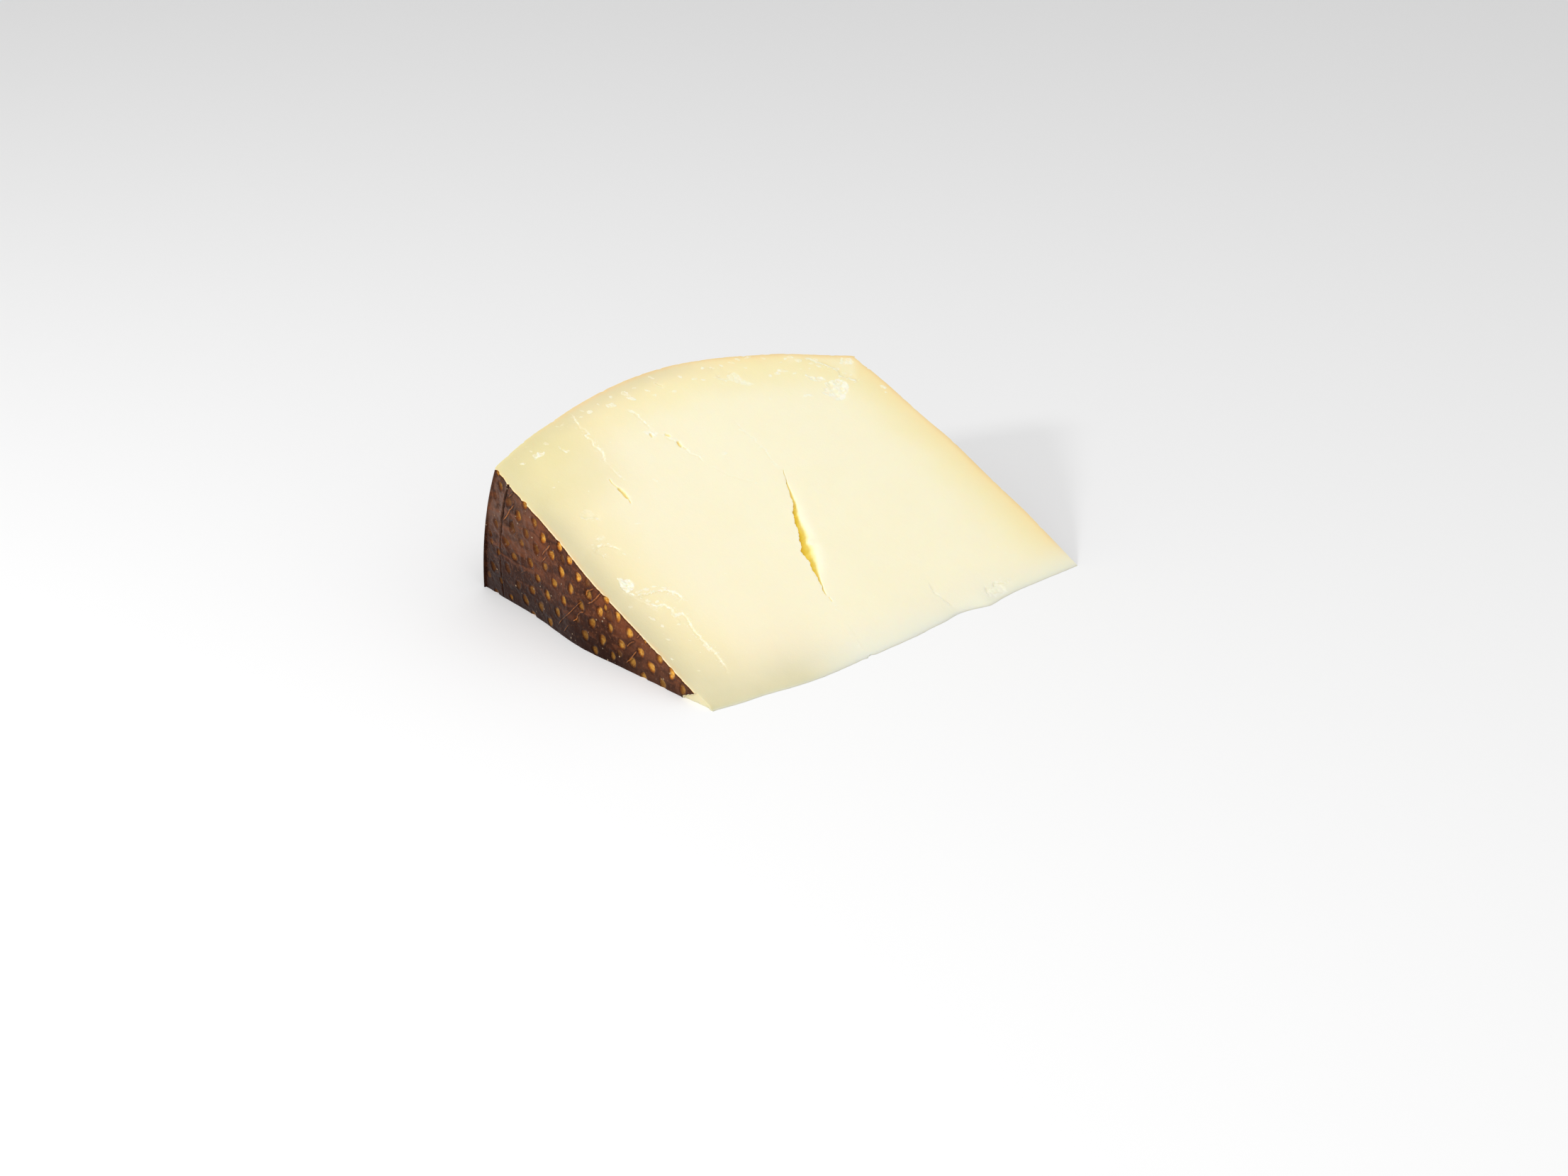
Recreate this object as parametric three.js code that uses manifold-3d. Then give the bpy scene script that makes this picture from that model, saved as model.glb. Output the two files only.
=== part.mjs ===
// A wedge cut from a small drum-shaped wheel of hard sheep's-milk cheese.
// The wheel's axis lies along X, so the wedge rests on one of its two cut faces.
// The thin edge, where the two cut faces meet, runs along the front, and the rounded
// side of the wheel, the heel, stands at the back. The left and right ends are the
// wheel's own flat faces. Everything is in millimetres, +Z up, and the origin is
// under the middle of the part's box.
import * as THREE from "three";
import { mergeVertices } from "three/addons/utils/BufferGeometryUtils.js";
import Module from "manifold-3d";

// ---- the wheel and the cut -------------------------------------------------
const WEDGE_ANGLE = THREE.MathUtils.degToRad(24.2); // between the two cut faces
const WHEEL_WIDTH = 114.2; // across the two flat faces at the thin edge
const HEEL_CENTRE_X = 54.5; // where the heel bulges most
const HEEL_RADIUS = 96.0; // wheel radius there
const HEEL_ARC = 112.9; // radius of the bulge itself, seen from above
const HEEL_DIP = 0.9; // the bulge is a little flatter on its left shoulder
const HEEL_FLARE = 1.4; // by the left rim the heel leans out towards the lower cut
const RIM_ROUND = 0.9; // reach of the rounding between the heel and each flat face
const RIM_CUT = 0.5; // and its depth
const LEFT_DOME = 0.6; // how far the left flat face swells out
const LEFT_WARP = 2.4; // how far its lower rim pulls in
const RIGHT_TAPER = 3.4; // the right flat face leans in towards the rim
const GROOVE_RADIUS = 76.4; // mould line near the rim of each flat face
const GROOVE_DEPTH = 0.35;
const FRONT_BOW = 3.35; // how far the thin edge bows forward
const FRONT_SHOULDER = 1.95; // the bow's gentler right-hand side
const FRONT_NOTCH = 2.1; // a short swelling of the thin edge further right
const BARE_TIP = 9.0; // rind is torn off this close to the thin edge
const TEAR_DEPTH = 0.7;

// ---- the main crack in the upper cut face ----------------------------------
const CRACK_LENGTH = 43.5; // end to end
const CRACK_WIDTH = 3.8; // widest opening
const CRACK_DEPTH = 4.2;
const CRACK_START = new THREE.Vector2(47.6, 17.2); // lower end: x, distance from the thin edge
const CRACK_LEAN = THREE.MathUtils.degToRad(64.5); // direction of the crack in the face
const CRACK_SAG = 0.8; // how far it curves towards -X

// ---- mould dimples in the rind ---------------------------------------------
const DIMPLE_PITCH = 6.05; // along a row
const DIMPLE_ROW = 3.33; // from row to row
const DIMPLE_SHEAR = 0.5; // each row starts half a pitch further on
const DIMPLE_WIDTH = 2.5;
const DIMPLE_DEPTH = 0.55;
const DIMPLE_SIDES = 4;

// ---- mesh steps -------------------------------------------------------------
const STEPS_ACROSS = 32;
const STEPS_DEEP = 24;
const STEPS_UP = 6;

// Smooth step from 0 at a to 1 at b.
const ease = (a, b, t) => THREE.MathUtils.smoothstep(t, a, b);
// Bell of height 1 around c.
const bell = (t, c, w) => Math.exp(-(((t - c) / w) ** 2));

// Small fixed irregularity, the same at every run.
function ripple(a, b) {
  return (
    Math.sin(a * 0.21 + 1.3) * Math.cos(b * 0.17 + 0.4) +
    0.5 * Math.sin(a * 0.53 + b * 0.41 + 2.1)
  );
}

// Radius of the heel at x, before its two rims are rounded.
function heelRadius(x) {
  const d = x - HEEL_CENTRE_X;
  const drop = HEEL_ARC - Math.sqrt(HEEL_ARC ** 2 - d * d);
  return HEEL_RADIUS - drop - HEEL_DIP * bell(x, 26, 16);
}

// The same at share w of the wedge's angle, leaning out by the left rim.
function heelOut(x, w) {
  const lip = 0.35 * (1 - ease(0, 6, x));
  return heelRadius(x) + lip + HEEL_FLARE * Math.max(0, 1 - w) ** 2.2 * (1 - ease(3, 40, x));
}

// The left flat face: x at radius r and at share w of the wedge's angle.
function leftX(r, w) {
  const dome = -0.65 - LEFT_DOME * bell(r, 42, 15);
  const warp = LEFT_WARP * ease(44, 78, r) * (1 - w) ** 1.5;
  const groove = GROOVE_DEPTH * bell(r, GROOVE_RADIUS, 1.2);
  const tear = TEAR_DEPTH * (1 - ease(BARE_TIP * 0.6, BARE_TIP, r));
  return dome + warp + groove + tear + 0.12 * ripple(r, w * 30);
}

// The right flat face, domed and leaning in towards its rim.
function rightX(r, w) {
  const lean = RIGHT_TAPER * (Math.max(0, r - 12) / 70) ** 2;
  const warp = 0.8 * ease(44, 80, r) * (1 - w);
  const groove = GROOVE_DEPTH * bell(r, GROOVE_RADIUS, 1.2);
  const dome = 0.6 * bell(r, 20, 16) + 0.5 * bell(r, 45, 10);
  return WHEEL_WIDTH + dome - lean - warp - groove + 0.12 * ripple(w * 30, r);
}

// How far the cut faces stand forward of straight at x and distance r from the thin edge.
function frontBow(x, r) {
  const main = FRONT_BOW * bell(x, 31, 19) + FRONT_SHOULDER * bell(x, 57, 12);
  const swell = FRONT_NOTCH * bell(x, 84, 5);
  return -main * ease(-1, 8, x) * (1 - ease(0, 45, r)) - swell * (1 - ease(-3, 7, r));
}

// Radius of the heel at share u across it, with both rims rounded.
function rimmed(u, w) {
  const left = leftX(80, w);
  const right = rightX(80, w);
  const x = left + (right - left) * u;
  const edge = Math.min(x - left, right - x);
  const k = Math.max(0, 1 - edge / RIM_ROUND);
  return heelOut(x, w) - RIM_CUT * (1 - Math.sqrt(1 - k * k));
}

// Shares across the wedge, closer together at both rims.
const across = [];
for (let i = 0; i <= STEPS_ACROSS; i++) {
  const t = i / STEPS_ACROSS;
  across.push(t - (0.62 * Math.sin(2 * Math.PI * t)) / (2 * Math.PI));
}

// The upper cut face is not quite flat: a few shallow flakes have lifted off it.
function flake(x, r) {
  const corner = 0.3 * ease(0, 4, (x - 99) * 0.75 + (r - 78) * 0.66);
  const crumb = 0.3 * bell(x, 97.5, 4) * bell(r, 73, 2.6);
  const ledge = 0.2 * ease(0, 2.5, 12.5 - x) * bell(r, 22, 14);
  const chip = 0.2 * bell(x, 75, 3.5) * bell(r, 88, 4);
  return corner + crumb + ledge + chip;
}

// A point of the wedge: u across, v from the thin edge to the heel, w of its angle.
function point(u, v, w) {
  const r = v * rimmed(u, w);
  const left = leftX(r, w);
  const right = rightX(r, w);
  const x = left + (right - left) * u;
  const bow = frontBow(x, r);
  const sink = w === 1 ? flake(x, r) * ease(0, 5, r) * ease(0, 0.02, 1 - v + 0.01) : 0;
  const a = WEDGE_ANGLE * w;
  return new THREE.Vector3(
    x,
    r * Math.cos(a) + bow + sink * Math.sin(WEDGE_ANGLE),
    r * Math.sin(a) - sink * Math.cos(WEDGE_ANGLE),
  );
}

// ---- the wedge's skin -------------------------------------------------------
function skin() {
  const vertices = [];
  const index = [];
  const seen = new Map();
  const id = (u, v, w) => {
    if (v === 0) w = 0; // both cut faces meet in the thin edge
    const key = `${u},${v},${w}`;
    if (!seen.has(key)) {
      const p = point(across[u], v / STEPS_DEEP, w / STEPS_UP);
      seen.set(key, vertices.length / 3);
      vertices.push(p.x, p.y, p.z);
    }
    return seen.get(key);
  };
  const tri = (a, b, c) => {
    if (a !== b && b !== c && c !== a) index.push(a, b, c);
  };
  const quad = (a, b, c, d) => {
    tri(a, b, c);
    tri(a, c, d);
  };
  for (let i = 0; i < STEPS_ACROSS; i++)
    for (let j = 0; j < STEPS_DEEP; j++)
      quad(
        id(i, j, STEPS_UP),
        id(i + 1, j, STEPS_UP),
        id(i + 1, j + 1, STEPS_UP),
        id(i, j + 1, STEPS_UP),
      );
  for (let i = 0; i < STEPS_ACROSS; i++)
    for (let k = 0; k < STEPS_UP; k++)
      quad(
        id(i, STEPS_DEEP, k),
        id(i, STEPS_DEEP, k + 1),
        id(i + 1, STEPS_DEEP, k + 1),
        id(i + 1, STEPS_DEEP, k),
      );
  for (let j = 0; j < STEPS_DEEP; j++)
    for (let k = 0; k < STEPS_UP; k++) {
      quad(id(0, j, k), id(0, j, k + 1), id(0, j + 1, k + 1), id(0, j + 1, k));
      quad(
        id(STEPS_ACROSS, j, k),
        id(STEPS_ACROSS, j + 1, k),
        id(STEPS_ACROSS, j + 1, k + 1),
        id(STEPS_ACROSS, j, k + 1),
      );
    }
  // The lower cut face is flat: one outline filled without inner points.
  const rim = [];
  for (let i = 0; i < STEPS_ACROSS; i++) rim.push(id(i, 0, 0));
  for (let j = 0; j < STEPS_DEEP; j++) rim.push(id(STEPS_ACROSS, j, 0));
  for (let i = STEPS_ACROSS; i > 0; i--) rim.push(id(i, STEPS_DEEP, 0));
  for (let j = STEPS_DEEP; j > 0; j--) rim.push(id(0, j, 0));
  const outline = rim.map(
    (n) => new THREE.Vector2(vertices[3 * n], vertices[3 * n + 1]),
  );
  for (const [a, b, c] of THREE.ShapeUtils.triangulateShape(outline, []))
    tri(rim[c], rim[b], rim[a]);
  return new THREE.BufferGeometry()
    .setAttribute("position", new THREE.Float32BufferAttribute(vertices, 3))
    .setIndex(index);
}

// ---- cuts ---------------------------------------------------------------------
// A point at x, distance r from the thin edge in the upper cut face, and h above it.
function onFace(x, r, h) {
  const bow = frontBow(x, r);
  const c = Math.cos(WEDGE_ANGLE);
  const s = Math.sin(WEDGE_ANGLE);
  return new THREE.Vector3(x, r * c + bow - h * s, r * s + h * c);
}

// A V-shaped cut whose opening follows a line in the upper cut face.
function gash(start, lean, length, sag, width, depth, peak, steps, jag) {
  const vertices = [];
  const index = [];
  const along = new THREE.Vector2(Math.cos(lean), Math.sin(lean));
  const side = new THREE.Vector2(along.y, -along.x);
  for (let i = 0; i <= steps; i++) {
    const t = i / steps;
    // The opening is widest at the share "peak" of its length.
    const q = t < peak ? t / peak : (1 - t) / (1 - peak);
    const open = 0.06 + width * Math.sin((Math.PI / 2) * q) ** 1.6;
    const bend = sag * Math.sin(Math.PI * t);
    const c = start
      .clone()
      .addScaledVector(along, t * length)
      .addScaledVector(side, -bend);
    const rough = (i % 2 ? 1 : -1) * jag * q;
    const near = c.clone().addScaledVector(side, -open / 2 + rough);
    const far = c.clone().addScaledVector(side, open / 2);
    const low = c.clone().addScaledVector(side, -open * 0.15);
    const lift = 1.2;
    const d = 0.4 + depth * q ** 0.6;
    // The walls are carried on above the face, so the cut is clean.
    const grow = 1 + lift / d;
    const a = low.clone().lerp(near, grow);
    const b = low.clone().lerp(far, grow);
    for (const p of [
      onFace(a.x, a.y, lift),
      onFace(b.x, b.y, lift),
      onFace(low.x, low.y, -d),
    ])
      vertices.push(p.x, p.y, p.z);
  }
  for (let i = 0; i < steps; i++) {
    const a = 3 * i;
    const b = a + 3;
    index.push(a, a + 1, b + 1, a, b + 1, b);
    index.push(a + 1, a + 2, b + 2, a + 1, b + 2, b + 1);
    index.push(a + 2, a, b, a + 2, b, b + 2);
  }
  const e = 3 * steps;
  index.push(0, 2, 1, e, e + 1, e + 2);
  return new THREE.BufferGeometry()
    .setAttribute("position", new THREE.Float32BufferAttribute(vertices, 3))
    .setIndex(index);
}

// One dimple: a low pyramid that stands on the rind, point inwards.
const dimpleShape = new THREE.ConeGeometry(
  (DIMPLE_WIDTH / 2) * (1 + 0.5 / DIMPLE_DEPTH),
  DIMPLE_DEPTH + 0.5,
  DIMPLE_SIDES,
);
function dimple(at, inward) {
  const turn = new THREE.Quaternion().setFromUnitVectors(
    new THREE.Vector3(0, 1, 0),
    inward,
  );
  const middle = at.clone().addScaledVector(inward, (DIMPLE_DEPTH - 0.5) / 2);
  return dimpleShape
    .clone()
    .applyMatrix4(
      new THREE.Matrix4().compose(middle, turn, new THREE.Vector3(1, 1, 1)),
    );
}

// Rows of dimples over both flat faces and the heel, each row half a pitch on.
function dimples() {
  const found = [];
  const tilt = Math.atan2(-0.75, 6.0);
  const reach = 20;
  for (const [faceX, inX] of [
    [leftX, 1],
    [rightX, -1],
  ])
    for (let row = -reach; row <= reach; row++)
      for (let k = -reach; k <= reach; k++) {
        const a = (k + row * DIMPLE_SHEAR) * DIMPLE_PITCH;
        const b = -row * DIMPLE_ROW;
        const y = 48.9 + a * Math.cos(tilt) - b * Math.sin(tilt);
        const z = 19.2 + a * Math.sin(tilt) + b * Math.cos(tilt);
        const r = Math.hypot(y, z);
        const w = Math.atan2(z, y) / WEDGE_ANGLE;
        const clear = (DIMPLE_WIDTH * 0.62) / Math.max(r, 1) / WEDGE_ANGLE;
        if (w < clear || w > 1 - clear || r < BARE_TIP + 2 || r > 79.3) continue;
        if (Math.abs(r - GROOVE_RADIUS) < 1.2) continue;
        const x = faceX(r, w);
        found.push(
          dimple(
            new THREE.Vector3(x, y, z),
            new THREE.Vector3(inX, -0.02, -0.02).normalize(),
          ),
        );
      }
  const rows = Math.floor((HEEL_RADIUS * WEDGE_ANGLE) / DIMPLE_ROW);
  for (let row = 0; row < rows; row++) {
    const w = (row + 0.5) / rows;
    const a = WEDGE_ANGLE * w;
    for (let k = 0; k * DIMPLE_PITCH < WHEEL_WIDTH; k++) {
      const x = 2.6 + (k + (row % 2) * DIMPLE_SHEAR) * DIMPLE_PITCH;
      if (x > 107.5) continue;
      const r = heelOut(x, w);
      const slope = heelOut(x + 0.5, w) - heelOut(x - 0.5, w);
      const out = new THREE.Vector3(-slope, Math.cos(a), Math.sin(a)).normalize();
      found.push(
        dimple(
          new THREE.Vector3(x, r * Math.cos(a), r * Math.sin(a)),
          out.negate(),
        ),
      );
    }
  }
  return found;
}

// ---- putting it together --------------------------------------------------------
const wasm = await Module();
wasm.setup();

function solid(geometry) {
  const g = geometry.clone();
  g.deleteAttribute("normal");
  g.deleteAttribute("uv");
  const merged = mergeVertices(g, 1e-4);
  return new wasm.Manifold(
    new wasm.Mesh({
      numProp: 3,
      vertProperties: new Float32Array(merged.attributes.position.array),
      triVerts: new Uint32Array(merged.index.array),
    }),
  );
}

let body = solid(skin());
body = body.subtract(
  solid(
    gash(CRACK_START, CRACK_LEAN, CRACK_LENGTH, CRACK_SAG, CRACK_WIDTH, CRACK_DEPTH, 0.36, 14, 0.22),
  ),
);
body = body.subtract(
  solid(
    gash(new THREE.Vector2(23.0, 61.0), Math.PI / 2, 8, 0.2, 1.0, 2.2, 0.4, 6, 0.12),
  ),
);
body = body.subtract(
  solid(
    gash(new THREE.Vector2(46.9, 69.8), THREE.MathUtils.degToRad(118), 9, 0.4, 0.8, 1.4, 0.35, 6, 0.1),
  ),
);
for (const g of dimples()) body = body.subtract(solid(g));

const mesh = body.getMesh();
const cut = new THREE.BufferGeometry()
  .setAttribute(
    "position",
    new THREE.Float32BufferAttribute(mesh.vertProperties, 3),
  )
  .setIndex(new THREE.Uint32BufferAttribute(mesh.triVerts, 1));
cut.computeBoundingBox();
const box = cut.boundingBox;
cut.translate(-(box.min.x + box.max.x) / 2, -(box.min.y + box.max.y) / 2, -box.min.z);
cut.computeVertexNormals();

const wedge = new THREE.Mesh(
  cut,
  new THREE.MeshStandardMaterial({ color: 0xf6e9bd, roughness: 0.45, metalness: 0 }),
);
wedge.name = "wedge";

const part = new THREE.Group();
part.add(wedge);
export default part;
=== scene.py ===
import math

import bpy
import numpy as np
from mathutils import Matrix, Vector
from mathutils.geometry import delaunay_2d_cdt
from mathutils.kdtree import KDTree


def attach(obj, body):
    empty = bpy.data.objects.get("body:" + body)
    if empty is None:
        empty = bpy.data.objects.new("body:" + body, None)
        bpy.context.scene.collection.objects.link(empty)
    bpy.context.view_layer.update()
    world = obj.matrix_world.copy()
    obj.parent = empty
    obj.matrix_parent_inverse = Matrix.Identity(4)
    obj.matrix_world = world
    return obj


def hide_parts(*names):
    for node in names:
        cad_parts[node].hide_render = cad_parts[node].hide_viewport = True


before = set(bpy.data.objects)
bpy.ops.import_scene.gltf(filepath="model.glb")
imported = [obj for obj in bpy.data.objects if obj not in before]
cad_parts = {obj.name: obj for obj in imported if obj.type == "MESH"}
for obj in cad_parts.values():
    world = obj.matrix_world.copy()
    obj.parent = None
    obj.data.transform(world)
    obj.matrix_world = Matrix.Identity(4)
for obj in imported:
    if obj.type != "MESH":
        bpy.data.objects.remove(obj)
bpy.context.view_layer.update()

MM = 0.001
SHIFT = np.array([-56.763, -46.336, 0.0])
ANGLE = math.radians(24.2)
CA, SA = math.cos(ANGLE), math.sin(ANGLE)
RIM_ROUND = 0.9
RIM_CUT = 0.5
GROOVE = 76.4
SPOT = np.array([-366.97, -434.17, 292.60])  # where the marks on the face were sighted from

# mesh steps
TOP_STEP, TOP_FINE, LEFT_STEP, RIGHT_STEP, HEEL_STEP, BASE_STEP = 0.66, 0.3, 0.36, 0.52, 0.56, 2.2
EDGE_STEP = 0.3


# ------------------------------------------------------------------ small helpers
def ease(a, b, t):
    x = np.clip((t - a) / (b - a), 0, 1)
    return x * x * (3 - 2 * x)


def bell(t, c, w):
    return np.exp(-(((t - c) / w) ** 2))


def curve(xs, ys):
    """Smooth curve through a few points (cubic Hermite, slopes by finite difference)."""
    xs, ys = np.array(xs, float), np.array(ys, float)
    m = np.gradient(ys, xs)

    def at(x):
        x = np.clip(np.asarray(x, float), xs[0], xs[-1])
        i = np.clip(np.searchsorted(xs, x) - 1, 0, len(xs) - 2)
        h = xs[i + 1] - xs[i]
        t = (x - xs[i]) / h
        return (
            (2 * t**3 - 3 * t**2 + 1) * ys[i]
            + (t**3 - 2 * t**2 + t) * h * m[i]
            + (-2 * t**3 + 3 * t**2) * ys[i + 1]
            + (t**3 - t**2) * h * m[i + 1]
        )

    return at


class Noise:
    """Gradient noise in three dimensions, about -1 to 1, the same at every run."""

    def __init__(self, seed):
        rng = np.random.RandomState(seed)
        p = rng.permutation(256)
        self.p = np.concatenate([p, p, p])
        g = rng.normal(size=(256, 3))
        self.g = g / np.linalg.norm(g, axis=1)[:, None]

    def __call__(self, q):
        q = np.asarray(q, float)
        if q.shape[1] == 2:
            q = np.column_stack([q, np.full(len(q), 0.37)])
        i = np.floor(q).astype(int)
        f = q - i
        i &= 255
        u = f * f * f * (f * (f * 6 - 15) + 10)
        total = np.zeros(len(q))
        for dx in (0, 1):
            for dy in (0, 1):
                for dz in (0, 1):
                    h = self.p[self.p[self.p[i[:, 0] + dx] + i[:, 1] + dy] + i[:, 2] + dz]
                    d = f - np.array([dx, dy, dz])
                    w = (
                        (u[:, 0] if dx else 1 - u[:, 0])
                        * (u[:, 1] if dy else 1 - u[:, 1])
                        * (u[:, 2] if dz else 1 - u[:, 2])
                    )
                    total += w * (self.g[h] * d).sum(1)
        return total * 1.6

    def many(self, q, octaves=3, fall=0.5):
        out, amp, scale = 0, 1.0, 1.0
        for _ in range(octaves):
            out = out + amp * self(np.asarray(q) * scale + 7.1 * scale)
            amp *= fall
            scale *= 2.03
        return out


N1, N2, N3, N4, N5 = (Noise(s) for s in (11, 23, 37, 51, 77))


def srgb(r, g, b):
    c = np.array([r, g, b], float) / 255
    return np.where(c <= 0.04045, c / 12.92, ((c + 0.055) / 1.055) ** 2.4)


def line_distance(P, line):
    """Distance from points to a polyline, the side (+1 left of its direction), and the share along it."""
    line = np.array(line, float)
    seg = np.diff(line, axis=0)
    lengths = np.hypot(*seg.T)
    start = np.concatenate([[0], np.cumsum(lengths)])
    best = np.full(len(P), 1e9)
    side = np.ones(len(P))
    along = np.zeros(len(P))
    for k, (a, s, n) in enumerate(zip(line[:-1], seg, lengths)):
        if n < 1e-9:
            continue
        t = np.clip(((P - a) @ s) / n**2, 0, 1)
        q = P - a - t[:, None] * s
        d = np.hypot(*q.T)
        new = d < best
        best[new] = d[new]
        cross = s[0] * q[:, 1] - s[1] * q[:, 0]
        side[new] = np.where(cross[new] >= 0, 1.0, -1.0)
        along[new] = (start[k] + t[new] * n) / start[-1]
    return best, side, along


def inside(P, poly):
    poly = np.array(poly, float)
    odd = np.zeros(len(P), bool)
    for a, b in zip(poly, np.roll(poly, -1, 0)):
        if a[1] == b[1]:
            continue
        crosses = (a[1] > P[:, 1]) != (b[1] > P[:, 1])
        x = a[0] + (P[:, 1] - a[1]) * (b[0] - a[0]) / (b[1] - a[1])
        odd ^= crosses & (P[:, 0] < x)
    return odd


def resample(line, n):
    line = np.array(line, float)
    d = np.concatenate([[0], np.cumsum(np.hypot(*np.diff(line, axis=0).T))])
    t = np.linspace(0, d[-1], n)
    return np.column_stack([np.interp(t, d, line[:, 0]), np.interp(t, d, line[:, 1])])


# ------------------------------------------------------------------ the wheel's shape
heel_at = curve(
    [-2, 0.5, 5, 10.5, 15.6, 20.6, 30.7, 40.1, 49.4, 56, 62.2, 69, 76.9, 84.5, 92.2, 99, 106.1, 110.6, 114],
    [81.0, 82.3, 84.5, 86.7, 88.4, 89.8, 92.6, 94.5, 95.7, 96.0, 95.9, 95.1, 93.6, 91.6, 89.4, 86.6, 83.5, 81.6, 79.9],
)
left_at = curve(
    [0, 6, 12, 18, 26, 34, 41, 48, 56, 64, 72, 82, 96],
    [0.25, -0.1, -0.4, -0.5, -0.8, -1.05, -1.3, -1.15, -0.7, -0.55, -0.7, -0.8, -0.8],
)
right_at = curve(
    [0, 12, 21, 30, 40, 48, 55, 62, 70, 78, 84, 96],
    [114.4, 114.7, 114.8, 114.4, 114.2, 114.0, 113.1, 112.5, 111.9, 110.9, 110.4, 110.0],
)
bow_at = curve(
    [-2, 1, 7, 14.8, 21, 28.5, 35, 42.1, 50, 57.6, 66, 74.6, 85, 95.7, 105, 116],
    [0, 0, -0.9, -1.7, -2.8, -3.5, -3.4, -3.0, -2.8, -2.4, -1.5, -0.7, -0.5, -0.4, -0.2, 0],
)
bump_at = curve([70, 74.6, 78, 80.5, 83, 85.2, 87.6, 91, 95.7, 99], [0, 0.45, -0.2, -1.1, -1.9, -1.5, -0.8, -0.35, 0.1, 0])


def left_x(r, w):
    return left_at(r) + 2.4 * ease(44, 78, r) * (1 - w) ** 1.5 - 0.25 * bell(r, 40, 10) * (1 - w)


def right_x(r, w):
    return right_at(r) - 0.8 * ease(44, 80, r) * (1 - w)


def bow(x, r):
    """The thin edge isn't straight: it bellies out, with a small lobe to the right of the middle."""
    return bow_at(x) * (1 - ease(0, 45, r)) + bump_at(x) * (1 - ease(-3, 7, r))


def top_point(x, r, h=0.0):
    """A point of the upper cut face, h above it."""
    return np.column_stack([x, r * CA + bow(x, r) - h * SA, r * SA + h * CA])


def flare(x, w):
    """The heel leans out a little towards the lower cut, by the left rim."""
    return 0.35 * (1 - ease(0, 6, x)) + 1.4 * np.clip(1 - w, 0, 1) ** 2.2 * (1 - ease(3, 40, x))


def rim(u, w):
    """Radius of the heel at share u across, with its two rims rounded."""
    a, b = left_x(80.0, w), right_x(80.0, w)
    x = a + (b - a) * u
    edge = np.minimum(x - a, b - x)
    k = np.clip(1 - edge / RIM_ROUND, 0, 1)
    return heel_at(x) + flare(x, w) - RIM_CUT * (1 - np.sqrt(1 - k * k))


def sighted(pts):
    """Marks sighted on the flat cut plane, moved to where the same line of sight meets the bowed face."""
    pts = np.atleast_2d(np.array(pts, float))
    Q = np.column_stack([pts[:, 0], pts[:, 1] * CA, pts[:, 1] * SA])
    lo, hi = np.full(len(Q), 0.97), np.full(len(Q), 1.0 + 1e-9)
    for _ in range(40):
        t = (lo + hi) / 2
        P = SPOT + t[:, None] * (Q - SPOT)
        r = P[:, 2] / SA
        f = P[:, 1] - r * CA - bow(P[:, 0], r)
        lo, hi = np.where(f > 0, lo, t), np.where(f > 0, t, hi)
    P = SPOT + hi[:, None] * (Q - SPOT)
    return np.column_stack([P[:, 0], P[:, 2] / SA])


def sighted_left(pts):
    """Marks sighted on the plane x = 0, moved along the line of sight to the left face. (y, z) pairs."""
    pts = np.atleast_2d(np.array(pts, float))
    Q = np.column_stack([np.zeros(len(pts)), pts])
    lo, hi = np.full(len(Q), 0.97), np.full(len(Q), 1.03)
    for _ in range(40):
        t = (lo + hi) / 2
        P = SPOT + t[:, None] * (Q - SPOT)
        r = np.hypot(P[:, 1], P[:, 2])
        f = P[:, 0] - left_x(r, np.clip(np.arctan2(P[:, 2], P[:, 1]) / ANGLE, 0, 1))
        lo, hi = np.where(f > 0, lo, t), np.where(f > 0, t, hi)
    P = SPOT + hi[:, None] * (Q - SPOT)
    return P[:, 1:]


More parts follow.
